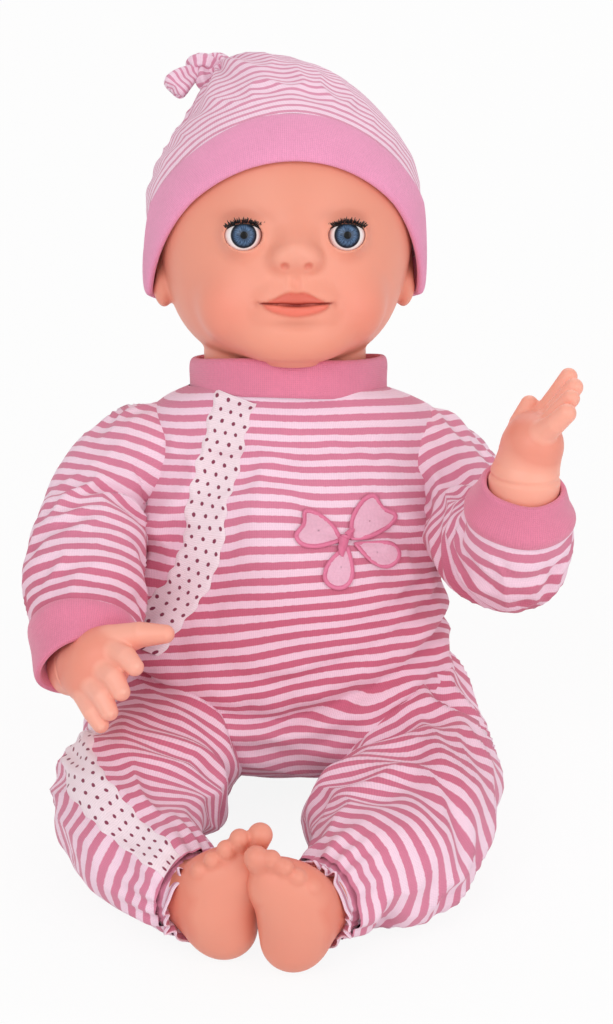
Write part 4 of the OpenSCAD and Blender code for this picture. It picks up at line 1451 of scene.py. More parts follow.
    def bodice(self) -> None:
        """Builds and dresses the bodice."""
        base = self.torso_grid()
        points = pushed(base, self.fold_height(base))
        x, y, t = np.moveaxis(base, -1, 0)
        level = self.level_at(base) - self.spare_length(points, t)
        obj = grid_object("romper_bodice", grounded(torso_to_row(points)), ring_uv(base, level))
        ends = np.maximum(ramp(t, 108.0, 124.0), 1.0 - ramp(t, -16.0, -2.0))
        armhole = ramp(np.abs(x), 44.0, 54.0) * ramp(t, 74.0, 90.0)
        crease = bell(self.above_crease(x, t), -0.5, 4.0) * ramp(-y, -6.0, 16.0)
        self.body_grid = self.firm_settle.run(obj, np.maximum(np.maximum(ends, armhole), crease))
        dress(obj, self.wear.romper, ["bodice", "torso_body", "body_flap"], Body.TORSO)

    def collar(self) -> None:
        """Builds and dresses the collar."""
        profile = spline(self.collar_line, 34)
        a = around(160)
        r = profile[:, 1:2] + 0.5 * np.sin(2.0 * a + 0.7) + 0.3 * np.sin(5.0 * a)
        lift = profile[:, 0:1] + 0.5 * np.sin(3.0 * a + 1.0)
        grid = np.stack([0.965 * r * np.cos(a) + 1.4, r * np.sin(a), NECK_SEAM + lift], axis=-1)
        obj = grid_object("romper_collar", torso_to_row(grid), ring_uv(grid))
        dress(obj, self.wear.band, ["collar"], Body.TORSO)

    def sleeve(self, side: Side) -> None:
        """Builds and dresses one sleeve, whose round top turns in the armhole with the arm.

        Args:
            side: The doll's own side.
        """
        tube = arm_tube(side)
        base = tube.rings()
        s, end = tube.along[:, None], tube.along[-1]
        free = ramp(s, 6.0, 20.0) * (1.0 - 0.7 * ramp(s, end - 9.0, end))
        waves = Folds(17.0, 2.2, 21 + side.value, (1.0, 1.3, 0.7)).height(base)
        waves += 0.9 * lumps(base, 34.0, 31 + side.value)
        bend = np.sin(s / 3.3) * bell(s, 26.0, 16.0) * ramp(-tube.outward(base, side), 4.0, 18.0)
        points = pushed(base, (waves + 1.5 * bend) * free)
        bent = int(np.argmax(tube.along > self.cap))
        drop = tube.along[bent] + (base[:bent] - tube.centre[bent]) @ tube.way[bent]
        level = np.concatenate([drop, np.broadcast_to(s[bent:], base[bent:].shape[:2])])
        obj = grid_object(f"{side.word}_romper_sleeve", torso_to_row(points), ring_uv(base, level))
        ends = np.maximum(1.0 - ramp(s, 6.0, 22.0), ramp(s, end - 9.0, end - 2.0))
        self.settle.run(obj, np.repeat(ends, tube.cols, axis=1))
        nodes = [f"{side.word}_{part}" for part in ("sleeve", "arm_stuffing", "wrist_gather")]
        dress(obj, self.wear.romper, nodes, side.body("arm"))

    def cuff(self, side: Side) -> None:
        """Builds and dresses one cuff, the right one with a longer outer side.

        Args:
            side: The doll's own side.
        """
        tube = arm_tube(side, cols=120)
        r = tube.radius[-1]
        h = self.cuff_h
        m = self.mouth_r + side.pick(0.0, 1.4)
        profile = [(-2.5, r - 0.6), (-1.6, r + 0.9), (2.0, r + 1.3), (h * 0.5, 0.4 * r + 0.6 * m + 1.4)]
        profile += [(h - 2.5, m + 1.6), (h - 0.4, m + 0.8), (h, m - 0.4)]
        profile += [(h - 1.2, m - 1.6), (h * 0.3, m - 2.0)]
        wave = 0.45 * np.sin(2.0 * tube.angle + side.value) + 0.25 * np.sin(5.0 * tube.angle)
        grid = tube.end_band(profile, 36, wave[None, :])
        rel = grid - tube.centre[-1]
        outer = np.clip(rel @ np.array([0.94 * side.value, 0.0, -0.34]) / r, 0.0, 1.0)
        reach = side.pick(0.0, 8.0) * outer * ramp(rel @ tube.way[-1], 0.0, h)
        grid = grid + reach[..., None] * tube.way[-1]
        obj = grid_object(f"{side.word}_romper_cuff", torso_to_row(grid), ring_uv(grid))
        dress(obj, self.wear.band, [f"{side.word}_cuff"], side.body("arm"))

    def leg_points(self, side: Side, tube: Tube, base: Array) -> Array:
        """The trouser leg with its folds, slack and gathers.

        Args:
            side: The doll's own side.
            tube: The leg's tube.
            base: Its grid of points without folds.

        Returns:
            Grid of points in the part's frame, lying on the ground.
        """
        s, end = tube.along[:, None], tube.along[-1]
        out = tube.outward(base, side)
        up = (base - tube.centre[:, None])[..., 2]
        inner = ramp(-out, 2.0, 20.0)
        free = ramp(s, 10.0, 40.0) * (1.0 - 0.5 * ramp(s, end - 12.0, end))
        waves = Folds(22.0, 2.1, 41 + side.value, (1.2, 0.8, 1.0)).height(base)
        waves += 1.2 * lumps(base, 46.0, 51 + side.value)
        knee = np.sin(s / 3.4) * bell(s, 92.0, 20.0)
        gather = ramp(s, end - 26.0, end) * np.sin(13.0 * tube.angle + 2.0 * np.sin(3.0 * tube.angle))
        near = 0.4 * self.rounding(self.near_torso(base)) * ramp(up, -14.0, 8.0)
        points = pushed(base, (waves + 1.8 * knee * inner) * free + 1.1 * gather + near)
        baggy = side.pick(18.0, 12.0) * bell(s, side.pick(112.0, 98.0), 34.0)
        drawn_in = side.pick(6.0, 0.0) * bell(s, 104.0, 32.0)
        hip = bell(s, 34.0, 26.0)
        points[..., 0] += side.value * (6.0 * hip * ramp(out, 0.0, 20.0) - baggy * inner - drawn_in)
        points[..., 2] += 3.5 * hip * ramp(up, 2.0, 22.0)
        return grounded(points)

    def leg(self, side: Side) -> None:
        """Builds and dresses one trouser leg.

        Args:
            side: The doll's own side.
        """
        tube = leg_tube(side)
        base = tube.rings()
        s, end = tube.along[:, None], tube.along[-1]
        uv = ring_uv(base, s + 0.8 * lumps(base, 40.0, 61 + side.value))
        obj = grid_object(f"{side.word}_romper_leg", self.leg_points(side, tube, base), uv)
        ends = np.maximum(1.0 - ramp(s, 24.0, 56.0), ramp(s, end - 10.0, end - 2.0))
        grid = grounded(self.settle.run(obj, np.repeat(ends, tube.cols, axis=1)))
        obj.data.vertices.foreach_set("co", (grid * MM).ravel())
        self.leg_grid[side] = grid
        nodes = [f"{side.word}_{part}" for part in ("trouser", "leg_stuffing", "ankle_gather")]
        dress(obj, self.wear.romper, nodes, side.body("leg"))

    def frill(self, side: Side) -> None:
        """Builds and dresses the gathered hem at one ankle.

        Args:
            side: The doll's own side.
        """
        tube = leg_tube(side, cols=220)
        outside = [(-3.0, -0.8), (0.0, -1.6), (1.6, -2.6), (3.0, -1.4), (4.6, 0.2), (6.2, 1.0)]
        inside = [(6.4, 0.4), (4.7, -0.8), (3.0, -2.6), (1.5, -3.6)]
        profile = [(past, tube.radius[-1] + step) for past, step in outside + inside]
        rows = 30
        spread = ramp(spline(profile, rows)[:, :1], 0.6, 5.8)
        a = tube.angle + 0.25 * np.sin(4.0 * tube.angle + side.value)
        wave = 1.1 * np.sin(13.0 * a) + 0.5 * np.sin(22.0 * a + 1.0) + 0.4 * np.sin(5.0 * a)
        wave = wave * (0.25 + spread)
        sway = (0.6 * np.sin(9.0 * a + 0.5) + 0.4 * np.sin(17.0 * a)) * spread
        grid = tube.end_band(profile, rows, wave) + sway[..., None] * tube.way[-1]
        obj = grid_object(f"{side.word}_romper_frill", grounded(grid), ring_uv(grid))
        dress(obj, self.wear.romper, [f"{side.word}_hem"], side.body("leg"))

    def build(self) -> None:
        """Builds every piece of the romper."""
        self.bodice()
        self.collar()
        for side in Side:
            self.sleeve(side)
            self.cuff(side)
            self.leg(side)
            self.frill(side)


def rods_tree() -> Tree:
    """Builds the node tree that stands a thin rod on each point, along its aim and as long as its span.

    Returns:
        The tree, with named inputs for the rods' sizes.
    """
    tree = bpy.data.node_groups.new("Rods on points", "GeometryNodeTree")
    numbers = (("Radius", "Float", 0.0002), ("Tip", "Float", 0.3), ("Jitter", "Float", 0.1))
    tree.interface.new_socket("Geometry", in_out="INPUT", socket_type="NodeSocketGeometry")
    for label, kind, value in (*numbers, ("Sides", "Int", 6), ("Seed", "Int", 4)):
        socket = tree.interface.new_socket(label, in_out="INPUT", socket_type=f"NodeSocket{kind}")
        socket.default_value = value
    tree.interface.new_socket("Finish", in_out="INPUT", socket_type="NodeSocketMaterial")
    tree.interface.new_socket("Geometry", in_out="OUTPUT", socket_type="NodeSocketGeometry")
    g = Graph(tree)
    source = g.add("NodeGroupInput").outputs
    top = g.math("MULTIPLY", source["Radius"], source["Tip"])
    shape = {"Vertices": source["Sides"], "Depth": 1.0, "Radius Bottom": source["Radius"], "Radius Top": top}
    rod = g.add("GeometryNodeMeshCone", shape).outputs["Mesh"]
    aim = g.add("GeometryNodeInputNamedAttribute", {"Name": "aim"}, data_type="FLOAT_VECTOR").outputs[0]
    span = g.add("GeometryNodeInputNamedAttribute", {"Name": "span"}, data_type="FLOAT").outputs[0]
    turn = g.add("FunctionNodeAlignRotationToVector", {"Vector": aim}, axis="Z").outputs[0]
    short = g.math("SUBTRACT", 1.0, source["Jitter"])
    long = g.math("ADD", 1.0, source["Jitter"])
    ends = {2: short, 3: long, "Seed": source["Seed"]}
    vary = g.add("FunctionNodeRandomValue", ends, data_type="FLOAT").outputs[1]
    size = g.vector(1.0, 1.0, g.math("MULTIPLY", span, vary))
    spots = {"Points": source["Geometry"], "Instance": rod, "Rotation": turn, "Scale": size}
    placed = g.add("GeometryNodeInstanceOnPoints", spots).outputs[0]
    real = g.add("GeometryNodeRealizeInstances", {0: placed}).outputs[0]
    smooth = g.add("GeometryNodeSetShadeSmooth", {0: real}).outputs[0]
    finish = g.add("GeometryNodeSetMaterial", {"Geometry": smooth, "Material": source["Finish"]}).outputs[0]
    g.add("NodeGroupOutput", {0: finish})
    return tree


@dataclass
class Rods:
    """Thin rods that stand in rows: lashes and stitches."""

    tree: Tree
    radius: float
    tip: float
    jitter: float
    sides: int = 6

    def place(self, name: str, points: Array, aims: Array, spans: Array, finish: Material) -> Piece:
        """Stands a rod on each point and returns them as one plain piece.

        Args:
            name: Name of the piece.
            points: Foot of each rod in mm.
            aims: Direction of each rod.
            spans: Length of each rod in mm.
            finish: Material of the rods.

        Returns:
            The piece.
        """
        obj = new_object(name, points, [])
        obj.data.attributes.new("aim", "FLOAT_VECTOR", "POINT").data.foreach_set("vector", unit(aims).ravel())
        obj.data.attributes.new("span", "FLOAT", "POINT").data.foreach_set("value", spans * MM)
        sizes = {"Radius": self.radius * MM, "Tip": self.tip, "Jitter": self.jitter, "Sides": self.sides}
        values = sizes | {"Finish": finish}
        stack = obj.modifiers.new("rods", "NODES")
        stack.node_group = self.tree
        for socket in self.tree.interface.items_tree:
            if socket.in_out == "INPUT" and socket.name in values:
                stack[socket.identifier] = values[socket.name]
        graph = bpy.context.evaluated_depsgraph_get()
        made = bpy.data.meshes.new_from_object(obj.evaluated_get(graph))
        obj.modifiers.remove(stack)
        old = obj.data
        obj.data = made
        bpy.data.meshes.remove(old)
        return obj


@dataclass
class Head:
    """The vinyl head with its face, ears and neck, and the two sleeping eyes."""

    wear: Wardrobe
    rods: Tree
    cell: float = 0.85
    eye: Triple = (20.3, -45.76, 50.0)
    ball: float = 7.8
    neck_r: float = 33.0
    mouth_half: float = 16.2
    mouth_h: float = 22.9
    nostril: Triple = (4.7, -58.4, 37.5)
    lash_count: int = 58
    lash_swing: float = math.radians(55.0)
    lash_rise: float = math.radians(33.0)
    # Height above the chin, and reach to each side, to the front and to the back
    levels: Sequence[Row] = (
        (0.0, 20.5, 41.0, 30.0), (2.0, 26.5, 46.5, 34.0), (8.0, 36.0, 51.5, 40.0),
        (19.0, 44.0, 54.0, 47.0), (37.0, 50.0, 53.6, 51.6), (53.0, 52.6, 53.0, 54.4),
        (63.0, 53.0, 52.5, 54.9), (76.0, 49.4, 50.0, 53.4), (89.0, 43.0, 44.4, 48.9),
        (101.0, 34.0, 35.9, 40.4), (109.5, 23.5, 24.9, 28.9), (114.5, 11.5, 12.0, 14.0),
        (116.5, 2.0, 2.0, 2.0),
    )

    def __post_init__(self) -> None:
        """Runs the smooth line through the levels."""
        self.table = spline(self.levels, 300)

    def girth(self, h: Array) -> list[Array]:
        """Reach of the skull to each side, to the front and to the back at heights."""
        return [np.interp(h, self.table[:, 0], reach) for reach in self.table.T[1:]]

    def lips(self, x: Array, h: Array) -> tuple[Array, Array, Array]:
        """Masks of the mouth, from 0 to 1.

        Args:
            x: Distance from the middle of the face.
            h: Height above the chin.

        Returns:
            The upper lip, the lower lip and the gap between them.
        """
        ax = np.abs(x)
        s = np.clip(ax / self.mouth_half, 0.0, 1.0)
        mid = self.mouth_h + 0.5 * s**2 - 0.3 * bell(x, 0.0, 5.0)
        top = mid + 1.1 * (1.0 - s) + 4.3 * np.exp(-((ax / 8.8) ** 2.6)) - 0.6 * bell(x, 0.0, 1.8)
        low = mid - 4.6 * np.sqrt(np.clip(1.0 - (s / 0.82) ** 2, 0.0, 1.0))
        edge = 0.55
        upper = ramp(h, mid - 0.2, mid + edge) * (1.0 - ramp(h, top - edge, top + edge))
        lower = ramp(h, low - edge, low + 2.2 * edge) * (1.0 - ramp(h, mid - edge, mid + 0.1))
        wide = 0.34 + 0.4 * (1.0 - ramp(ax, 3.0, 10.0))
        gap = bell(h - mid, 0.15, wide) * (1.0 - ramp(ax, 12.5, 16.4))
        ends = 1.0 - ramp(ax, self.mouth_half - 1.6, self.mouth_half)
        return upper * ends, lower * ends, gap

    def skull(self, p: Array, m: Array) -> Array:
        """Signed distance to the head without its finer relief.

        Args:
            p: Points in the head frame.
            m: The same points, mirrored to the left half.

        Returns:
            The distance of each point.
        """
        x, y, h = np.moveaxis(p, -1, 0)
        w, f, b = self.girth(h)
        deep = np.where(y < 0.0, f, b)
        d = (np.sqrt((x / w) ** 2 + (y / deep) ** 2) - 1.0) * np.minimum(w, deep)
        d = np.maximum(d, box_distance(h, 0.0, self.levels[-1][0]))
        ex, _, eh = self.eye
        d += 0.5 * bell(m[..., 0], ex, 12.0) * bell(h, eh + 1.0, 10.0) * ramp(-y, 8.0, 28.0)
        cheek = ellipsoid(m, (23.5, -37.0, 21.5), (12.0, 10.8, 12.5))
        chin = ellipsoid(m, (0.0, -44.0, 9.6), (19.0, 10.0, 9.4))
        nose = cone(m, (0.0, -49.5, 52.0), (0.0, -54.6, 43.6), 3.0, 5.7)
        wing = ellipsoid(m, (5.8, -53.4, 40.6), (3.5, 4.3, 3.6))
        mouth = ellipsoid(m, (0.0, -49.5, 22.0), (15.5, 6.6, 10.5))
        lid = sphere(m, self.eye, self.ball + 1.1)
        ear = ellipsoid(m, (49.0, 3.5, 34.0), (5.2, 8.0, 13.0))
        swells = ((cheek, 9.0), (chin, 9.0), (nose, 9.5), (wing, 4.0), (mouth, 5.0), (lid, 4.0), (ear, 2.2))
        for shape, soft in swells:
            d = join(d, shape, soft)
        d = cut(d, ellipsoid(m, (55.0, 1.5, 37.0), (3.0, 4.0, 7.5)), 1.6)
        neck = np.maximum(np.hypot(x, y) - self.neck_r, box_distance(h, -24.0, 5.0))
        return cut(join(d, neck, 2.5), ellipsoid(m, self.nostril, (1.6, 2.4, 1.5)), 0.9)

    def distance(self, p: Array) -> Array:
        """Signed distance to the head's skin.

        Args:
            p: Points in the head frame.

        Returns:
            The distance of each point.
        """
        x, y, h = np.moveaxis(p, -1, 0)
        ax = np.abs(x)
        m = np.stack([ax, y, h], axis=-1)
        d = self.skull(p, m)
        front = ramp(-y, 8.0, 28.0)
        upper, lower, gap = self.lips(x, h)
        d -= (0.9 * upper + 1.4 * lower - 1.5 * gap) * front
        d += 0.5 * bell(ax, self.mouth_half - 0.4, 1.5) * bell(h, self.mouth_h, 1.8) * front
        d += 1.1 * bell(x, 0.0, 9.0) * bell(h, self.mouth_h - 8.3, 2.0) * front
        d += (0.7 * bell(x, 0.0, 1.7) - 0.4 * bell(ax, 3.0, 1.2)) * bell(h, 31.0, 3.2) * front
        ex, ey, eh = self.eye
        dx, dh = ax - ex, h - eh
        rim = np.sqrt((dx / 11.2) ** 2 + ((dh - 0.6) / 9.4) ** 2)
        d += 0.12 * bell(rim, 1.06, 0.12) * ramp(dh, 1.0, 6.0) * front
        almond = (np.sqrt((dx / 7.4) ** 2 + (dh / np.where(dh > 0.0, 5.8, 6.0)) ** 2) - 1.0) * 5.8
        d = cut(d, np.maximum(almond, y - ey), 0.7)
        return np.maximum(d, -sphere(m, self.eye, self.ball + 0.12))

    def colours(self, p: Array) -> Array:
        """Airbrushed colours of the skin, with painted shade and a painted highlight among them.

        Args:
            p: Points in the head frame.

        Returns:
            A linear colour for each point.
        """
        x, y, h = p.T
        ax = np.abs(x)
        front = ramp(-y, 8.0, 28.0)
        ex, _, eh = self.eye
        above_eye = bell(ax - ex, 0.0, 8.8) * bell(h - eh, 7.6, 2.6)
        hollow = np.stack([ax, y, h], 1) - (np.array(self.nostril) + np.array([0.0, 0.6, 0.3]))
        hole = np.linalg.norm(hollow / np.array([2.0, 3.4, 1.9]), axis=1)
        upper, lower, gap = self.lips(x, h)
        corner = bell(ax, self.mouth_half - 0.4, 1.4) * bell(h, self.mouth_h + 0.2, 1.2)
        under_lip = bell(x, 0.0, 9.0) * bell(h, self.mouth_h - 7.8, 1.8)
        coats = (
            # painted shade on the forehead, which tones down the key light from above
            (0.8 * bell(h, 74.0, 20.0) * front, (229, 147, 123)),
            (0.65 * bell(ax, 27.0, 13.0) * bell(h, 21.0, 12.0) * front, (237, 140, 119)),
            # painted highlight on the nose
            (0.5 * bell(x, 0.0, 9.0) * bell(h, 41.0, 6.0) * front, (244, 172, 150)),
            # painted shadow above the eyes, under the lid fold
            (0.32 * above_eye * front, (176, 98, 82)),
            # painted shade in the nostrils
            (0.5 * (1.0 - ramp(hole, 0.6, 1.2)), (214, 104, 84)),
            # painted shade in the mouth's corners and dimples
            (0.25 * corner * front, (190, 92, 70)),
            # painted shadow under the lower lip
            (0.28 * under_lip * front, (186, 106, 84)),
            (0.9 * upper * front, (216, 92, 74)),
            (0.85 * lower * front, (234, 108, 88)),
            (1.1 * gap * front, (140, 34, 26)),
            (0.4 * bell(ax, 51.0, 3.0) * bell(h, 38.0, 6.0), (222, 122, 98)),
        )
        out = np.tile(np.array(SKIN[:3]), (len(p), 1))
        for weight, colour in coats:
            out = mixed(out, weight, linear(*colour))
        return out

    def skin(self) -> None:
        """Builds and dresses the head."""
        points, faces = net(self.distance, (-56.5, -64.0, -26.0), (56.5, 58.0, 121.0), self.cell)
        obj = new_object("vinyl_head", head_to_row(points), faces)
        paint(obj, self.colours(points))
        dress(obj, self.wear.skin, ["head_shell"], Body.HEAD)

    def eyeball(self, side: Side, centre: Array) -> None:
        """Builds one eyeball.

        Args:
            side: The doll's own side.
            centre: Its middle in the head frame.
        """
        place = tuple(head_to_row(centre) * MM)
        gloss = EyeGloss(f"{side.word} eye gloss", place).material(self.wear.fx)
        lat = np.linspace(-math.pi / 2.0, math.pi / 2.0, 49)[:, None]
        lon = around(96)
        r = np.cos(lat)
        ball = np.stack([r * np.cos(lon), np.sin(lat) + 0.0 * lon, -r * np.sin(lon)], axis=-1)
        ball = ball * self.ball + centre
        obj = grid_object(f"{side.word}_glossy_eye", head_to_row(ball), ring_uv(ball))
        dress(obj, gloss, [f"{side.word}_eyeball"], side.body("eye"))

    def lashes(self, side: Side, centre: Array) -> None:
        """Builds one row of lashes, with the thin band that it grows from.

        Args:
            side: The doll's own side.
            centre: Middle of the eyeball in the head frame.
        """
        swing = np.linspace(-1.0, 1.0, self.lash_count) * self.lash_swing
        rise = np.array([-math.cos(self.lash_rise), math.sin(self.lash_rise)])
        rng = np.random.default_rng(30 + side.value)
        foot = np.concatenate([np.sin(swing)[:, None], np.cos(swing)[:, None] * rise], axis=1)
        aim = foot * 0.9 + np.array([0.0, -0.25, 0.45]) + 0.14 * rng.normal(size=foot.shape)
        span = 1.6 + 0.6 * np.cos(swing) + 0.3 * rng.normal(size=len(swing))
        start = centre + (self.ball - 0.25) * foot + 0.5 * span[:, None] * unit(aim)
        start = np.concatenate([start, centre + (self.ball + 0.1) * foot])
        aim = np.concatenate([aim, np.gradient(foot, axis=0)])
        span = np.concatenate([span, np.full(len(foot), 0.5)])
        way = head_to_row(start + aim) - head_to_row(start)
        rods = Rods(self.rods, 0.3, 0.4, 0.08)
        obj = rods.place(f"{side.word}_lash_row", head_to_row(start), way, span, self.wear.lash)
        dress(obj, self.wear.lash, [f"{side.word}_lashes"], side.body("eye"))

    def build(self) -> None:
        """Builds the head and both eyes."""
        self.skin()
        for side in Side:
            centre = np.array(self.eye) * np.array([side.value, 1.0, 1.0])
            self.eyeball(side, centre)
            self.lashes(side, centre)


@dataclass
class Hat:
    """The striped hat with its folded brim and side knot."""

    wear: Wardrobe
    head: Head
    ease: float = 1.6
    brim_h: float = 18.0
    front_rise: float = 53.0
    back_drop: float = 7.0
    spread: float = 0.75
    widest: float = 63.0
    knot: Triple = (-26.0, 6.0, 117.0)
    peak: Triple = (-18.0, -4.0, 116.5)
    loop_at: Triple = (-30.0, 7.0, 117.0)
    rows: int = 110
    cols: int = 220
    # Share of the brim's height and distance out from the skull, from the inside over the fold
    brim_line: Sequence[Row] = (
        (0.12, 0.9), (0.0, 1.0), (-0.05, 2.2), (-0.01, 3.6), (0.12, 4.5), (0.35, 4.9), (0.65, 4.9),
        (0.88, 4.5), (0.98, 3.7), (1.0, 2.6), (0.93, 2.2),
    )
    # Middle of the loose tail and its radius
    tail_line: Sequence[Row] = (
        (-31.0, 7.0, 117.0, 3.0), (-36.0, 6.4, 116.0, 3.2), (-40.0, 5.8, 113.6, 4.6),
        (-43.0, 5.2, 111.2, 5.6), (-45.0, 4.8, 109.2, 5.2), (-46.2, 4.5, 108.0, 0.4),
    )

    def edge(self, a: Array) -> Array:
        """Height of the brim's lower edge above the chin round the head."""
        s = np.sin(a)
        return 27.0 - np.where(s < 0.0, self.front_rise, self.back_drop) * s

    def depth(self, a: Array) -> Array:
        """Height of the brim, taller where its edge runs steeply."""
        steep = (7.0 + 46.0 * ramp(-np.sin(a), -0.3, 0.25)) * np.cos(a) / 53.0
        return self.brim_h * np.sqrt(1.0 + steep**2)

    def shell(self, a: Array, h: Array, off: Array | float) -> Array:
        """Points round the head, straight below its widest level.

        Args:
            a: Angle round the head.
            h: Height above the chin.
            off: Distance out from the skull.

        Returns:
            The points in the head frame.
        """
        w, f, b = self.head.girth(np.maximum(h, self.widest))
        c, s = np.cos(a), np.sin(a)
        return np.stack([(w + off) * c, (np.where(s < 0.0, f, b) + off) * s, h + 0.0 * a], axis=-1)

    def reach(self, ways: Array) -> Array:
        """Where rays from the middle of the head meet the hat's surface.

        Args:
            ways: Unit directions.

        Returns:
            Points on the surface.
        """
        centre = self.widest * UP
        low = np.full(ways.shape[:-1], 10.0)
        high = np.full(ways.shape[:-1], 110.0)
        for _ in range(34):
            r = 0.5 * (low + high)
            x, y, h = np.moveaxis(centre + r[..., None] * ways, -1, 0)
            w, f, b = self.head.girth(np.maximum(h, self.widest))
            deep = np.where(y < 0.0, f, b)
            outside = ((x / w) ** 2 + (y / deep) ** 2 > 1.0) | (h > self.head.table[-1, 0])
            high = np.where(outside, r, high)
            low = np.where(outside, low, r)
        return centre + (0.5 * (low + high))[..., None] * ways

    def crown(self) -> None:
        """Builds and dresses the crown, ring by ring from the brim to the knot."""
        a = around(self.cols)
        centre = self.widest * UP
        start = unit(self.shell(a, self.edge(a) + self.depth(a) - 2.0, 0.0) - centre)
        pole = unit(np.array(self.knot) - centre)
        f = np.linspace(0.0, 0.985, self.rows)[:, None]
        span = np.arccos(np.clip(start @ pole, -1.0, 1.0))[None, :]
        ways = np.sin((1.0 - f) * span)[..., None] * start + np.sin(f * span)[..., None] * pole
        base = self.reach(unit(ways / np.sin(span)[..., None]))
        arc = lengths(base)
        near = np.exp(-(arc[-1] - arc) / 16.0)
        swell = self.ease + 1.0 + 1.1 * lumps(base, 42.0, 71) * ramp(f, 0.02, 0.2)
        swell += Folds(20.0, 0.9, 74, (1.0, 1.0, 1.5)).height(base) * ramp(f, 0.05, 0.3)
        swell += near * (2.0 + 1.7 * np.sin(11.0 * a + 1.4 * np.sin(2.0 * a)))
        swell += 7.0 * bell(np.linalg.norm(base - np.array(self.peak), axis=-1), 0.0, 16.0)
        points = base + np.maximum(swell, 1.2)[..., None] * unit(base - centre)
        v = self.spread * (0.5 * arc + 0.5 * f * arc[-1].mean())
        obj = grid_object("hat_dome", head_to_row(points), ring_uv(base, v + 0.7 * lumps(base, 36.0, 77)))
        dress(obj, self.wear.hat, ["hat_crown"], Body.HAT)

    def brim(self) -> None:
        """Builds and dresses the folded brim."""
        a = around(240)[None, :]
        line = spline(self.brim_line, 60)
        soft = 0.5 * np.sin(3.0 * a + 0.5) + 0.35 * np.sin(7.0 * a)
        h = self.edge(a) + self.depth(a) * line[:, 0:1] + 0.4 * np.sin(5.0 * a)
        off = line[:, 1:2] + soft * bell(line[:, 0:1], 0.5, 0.45)
        grid = self.shell(np.broadcast_to(a, h.shape), h, off)
        obj = grid_object("hat_fold", head_to_row(grid), ring_uv(grid))
        dress(obj, self.wear.brim, ["hat_brim"], Body.HAT)

    def tied_knot(self) -> None:
        """Builds and dresses the knot: a loop tied in the crown's end, and its loose tail."""
        t = np.linspace(0.0, TAU, 140)
        x = np.sin(t) + 2.0 * np.sin(2.0 * t)
        z = np.cos(t) - 2.0 * np.cos(2.0 * t)
        loop = np.stack([x, -np.sin(3.0 * t) * 1.1, z], axis=-1)
        loop = loop * np.array([2.1, 2.0, 1.75]) + np.array(self.loop_at)
        ring = tube_along(loop, 3.3 + 0.4 * np.sin(5.0 * t), 40)
        ring = pushed(ring, 0.45 * np.sin(around(40) * 5.0)[None, :] * np.ones((len(t), 1)))
        line = spline(self.tail_line, 40)
        tail = tube_along(line[:, :3], line[:, 3], 48)
        swell = 0.1 + 0.9 * np.sin(np.linspace(0.0, math.pi, len(line)))
        tail = pushed(tail, swell[:, None] * np.sin(around(48) * 4.0)[None, :])
        for name, grid, nodes in (("hat_tied_loop", ring, ["hat_knot"]), ("hat_tail", tail, [])):
            obj = grid_object(name, head_to_row(grid), 1.3 * ring_uv(grid))
            dress(obj, self.wear.hat, nodes, Body.HAT)

    def build(self) -> None:
        """Builds every piece of the hat."""
        self.crown()
        self.brim()
        self.tied_knot()


# Balls of x, y, z and radius in mm
Chain = Sequence[Row]


@dataclass
class Limb:
    """A vinyl hand or foot: chains of balls that grow together, in the part's frame."""

    wear: Wardrobe
    name: str
    body: Body
    node: str
    palm: Sequence[Chain]
    digits: Sequence[Chain]
    crease: tuple[Triple, Triple]
    tone: Colour
    nails: Sequence[Triple] = ()
    cell: float = 0.5
    web: float = 1.7
    thin: tuple[float, float] = (1.0, 0.0)

    @staticmethod
    def chain(p: Array, links: Chain) -> Array:
        """Distance to one chain."""
        return np.minimum.reduce([cone(p, a[:3], b[:3], a[3], b[3]) for a, b in zip(links, links[1:])])

    def bare(self, p: Array) -> Array:
        """Distance to the chains without the soft joins between them."""
        return np.minimum.reduce([self.chain(p, c) for c in (*self.palm, *self.digits)])

    def distance(self, p: Array) -> Array:
        """Signed distance to the skin.

        Args:
            p: Points in the part's frame.

        Returns:
            The distance of each point.
        """
        share, level = self.thin
        flat = p * np.array([1.0, share, 1.0]) + np.array([0.0, level * (1.0 - share), 0.0])
        d = join(self.chain(flat, self.palm[0]), self.chain(flat, self.palm[1]), 9.0)
        for links in self.palm[2:]:
            d = join(d, self.chain(p, links), 9.0)
        for links in self.digits:
            d = join(d, self.chain(p, links), self.web)
        at, way = (np.array(v) for v in self.crease)
        d = d + 0.7 * bell((p - at) @ unit(way), 0.0, 0.9)
        for nail in self.nails:
            d = d - 0.22 * (1.0 - ramp(sphere(p, nail, 0.0), 1.1, 1.6))
        return np.maximum(d, 0.4 - p[..., 2])

    def build(self) -> None:
        """Builds, paints and dresses the piece."""
        balls = np.array([b for c in (*self.palm, *self.digits) for b in c])
        low = (balls[:, :3] - balls[:, 3:]).min(axis=0) - 2.0
        high = (balls[:, :3] + balls[:, 3:]).max(axis=0) + 2.0
        points, faces = net(self.distance, low, high, self.cell)
        obj = new_object(self.name, points, faces)
        # Painted shade in the creases where fingers, toes and palm grow together: the deeper a point lies in
        # a soft join, the darker
        deep = np.clip(self.bare(points) / 1.4, 0.0, 1.0)
        colours = np.tile(np.array(SKIN[:3]), (len(points), 1))
        colours = mixed(colours, 0.75 + 0.25 * lumps(points, 30.0, 81), self.tone)
        colours = mixed(colours, 0.55 * deep, linear(224, 120, 98))
        for nail in self.nails:
            near = 1.0 - ramp(sphere(points, nail, 0.0), 1.0, 1.6)
            colours = mixed(colours, 0.6 * near, linear(247, 182, 162))
        paint(obj, colours)
        dress(obj, self.wear.skin, [self.node], self.body)


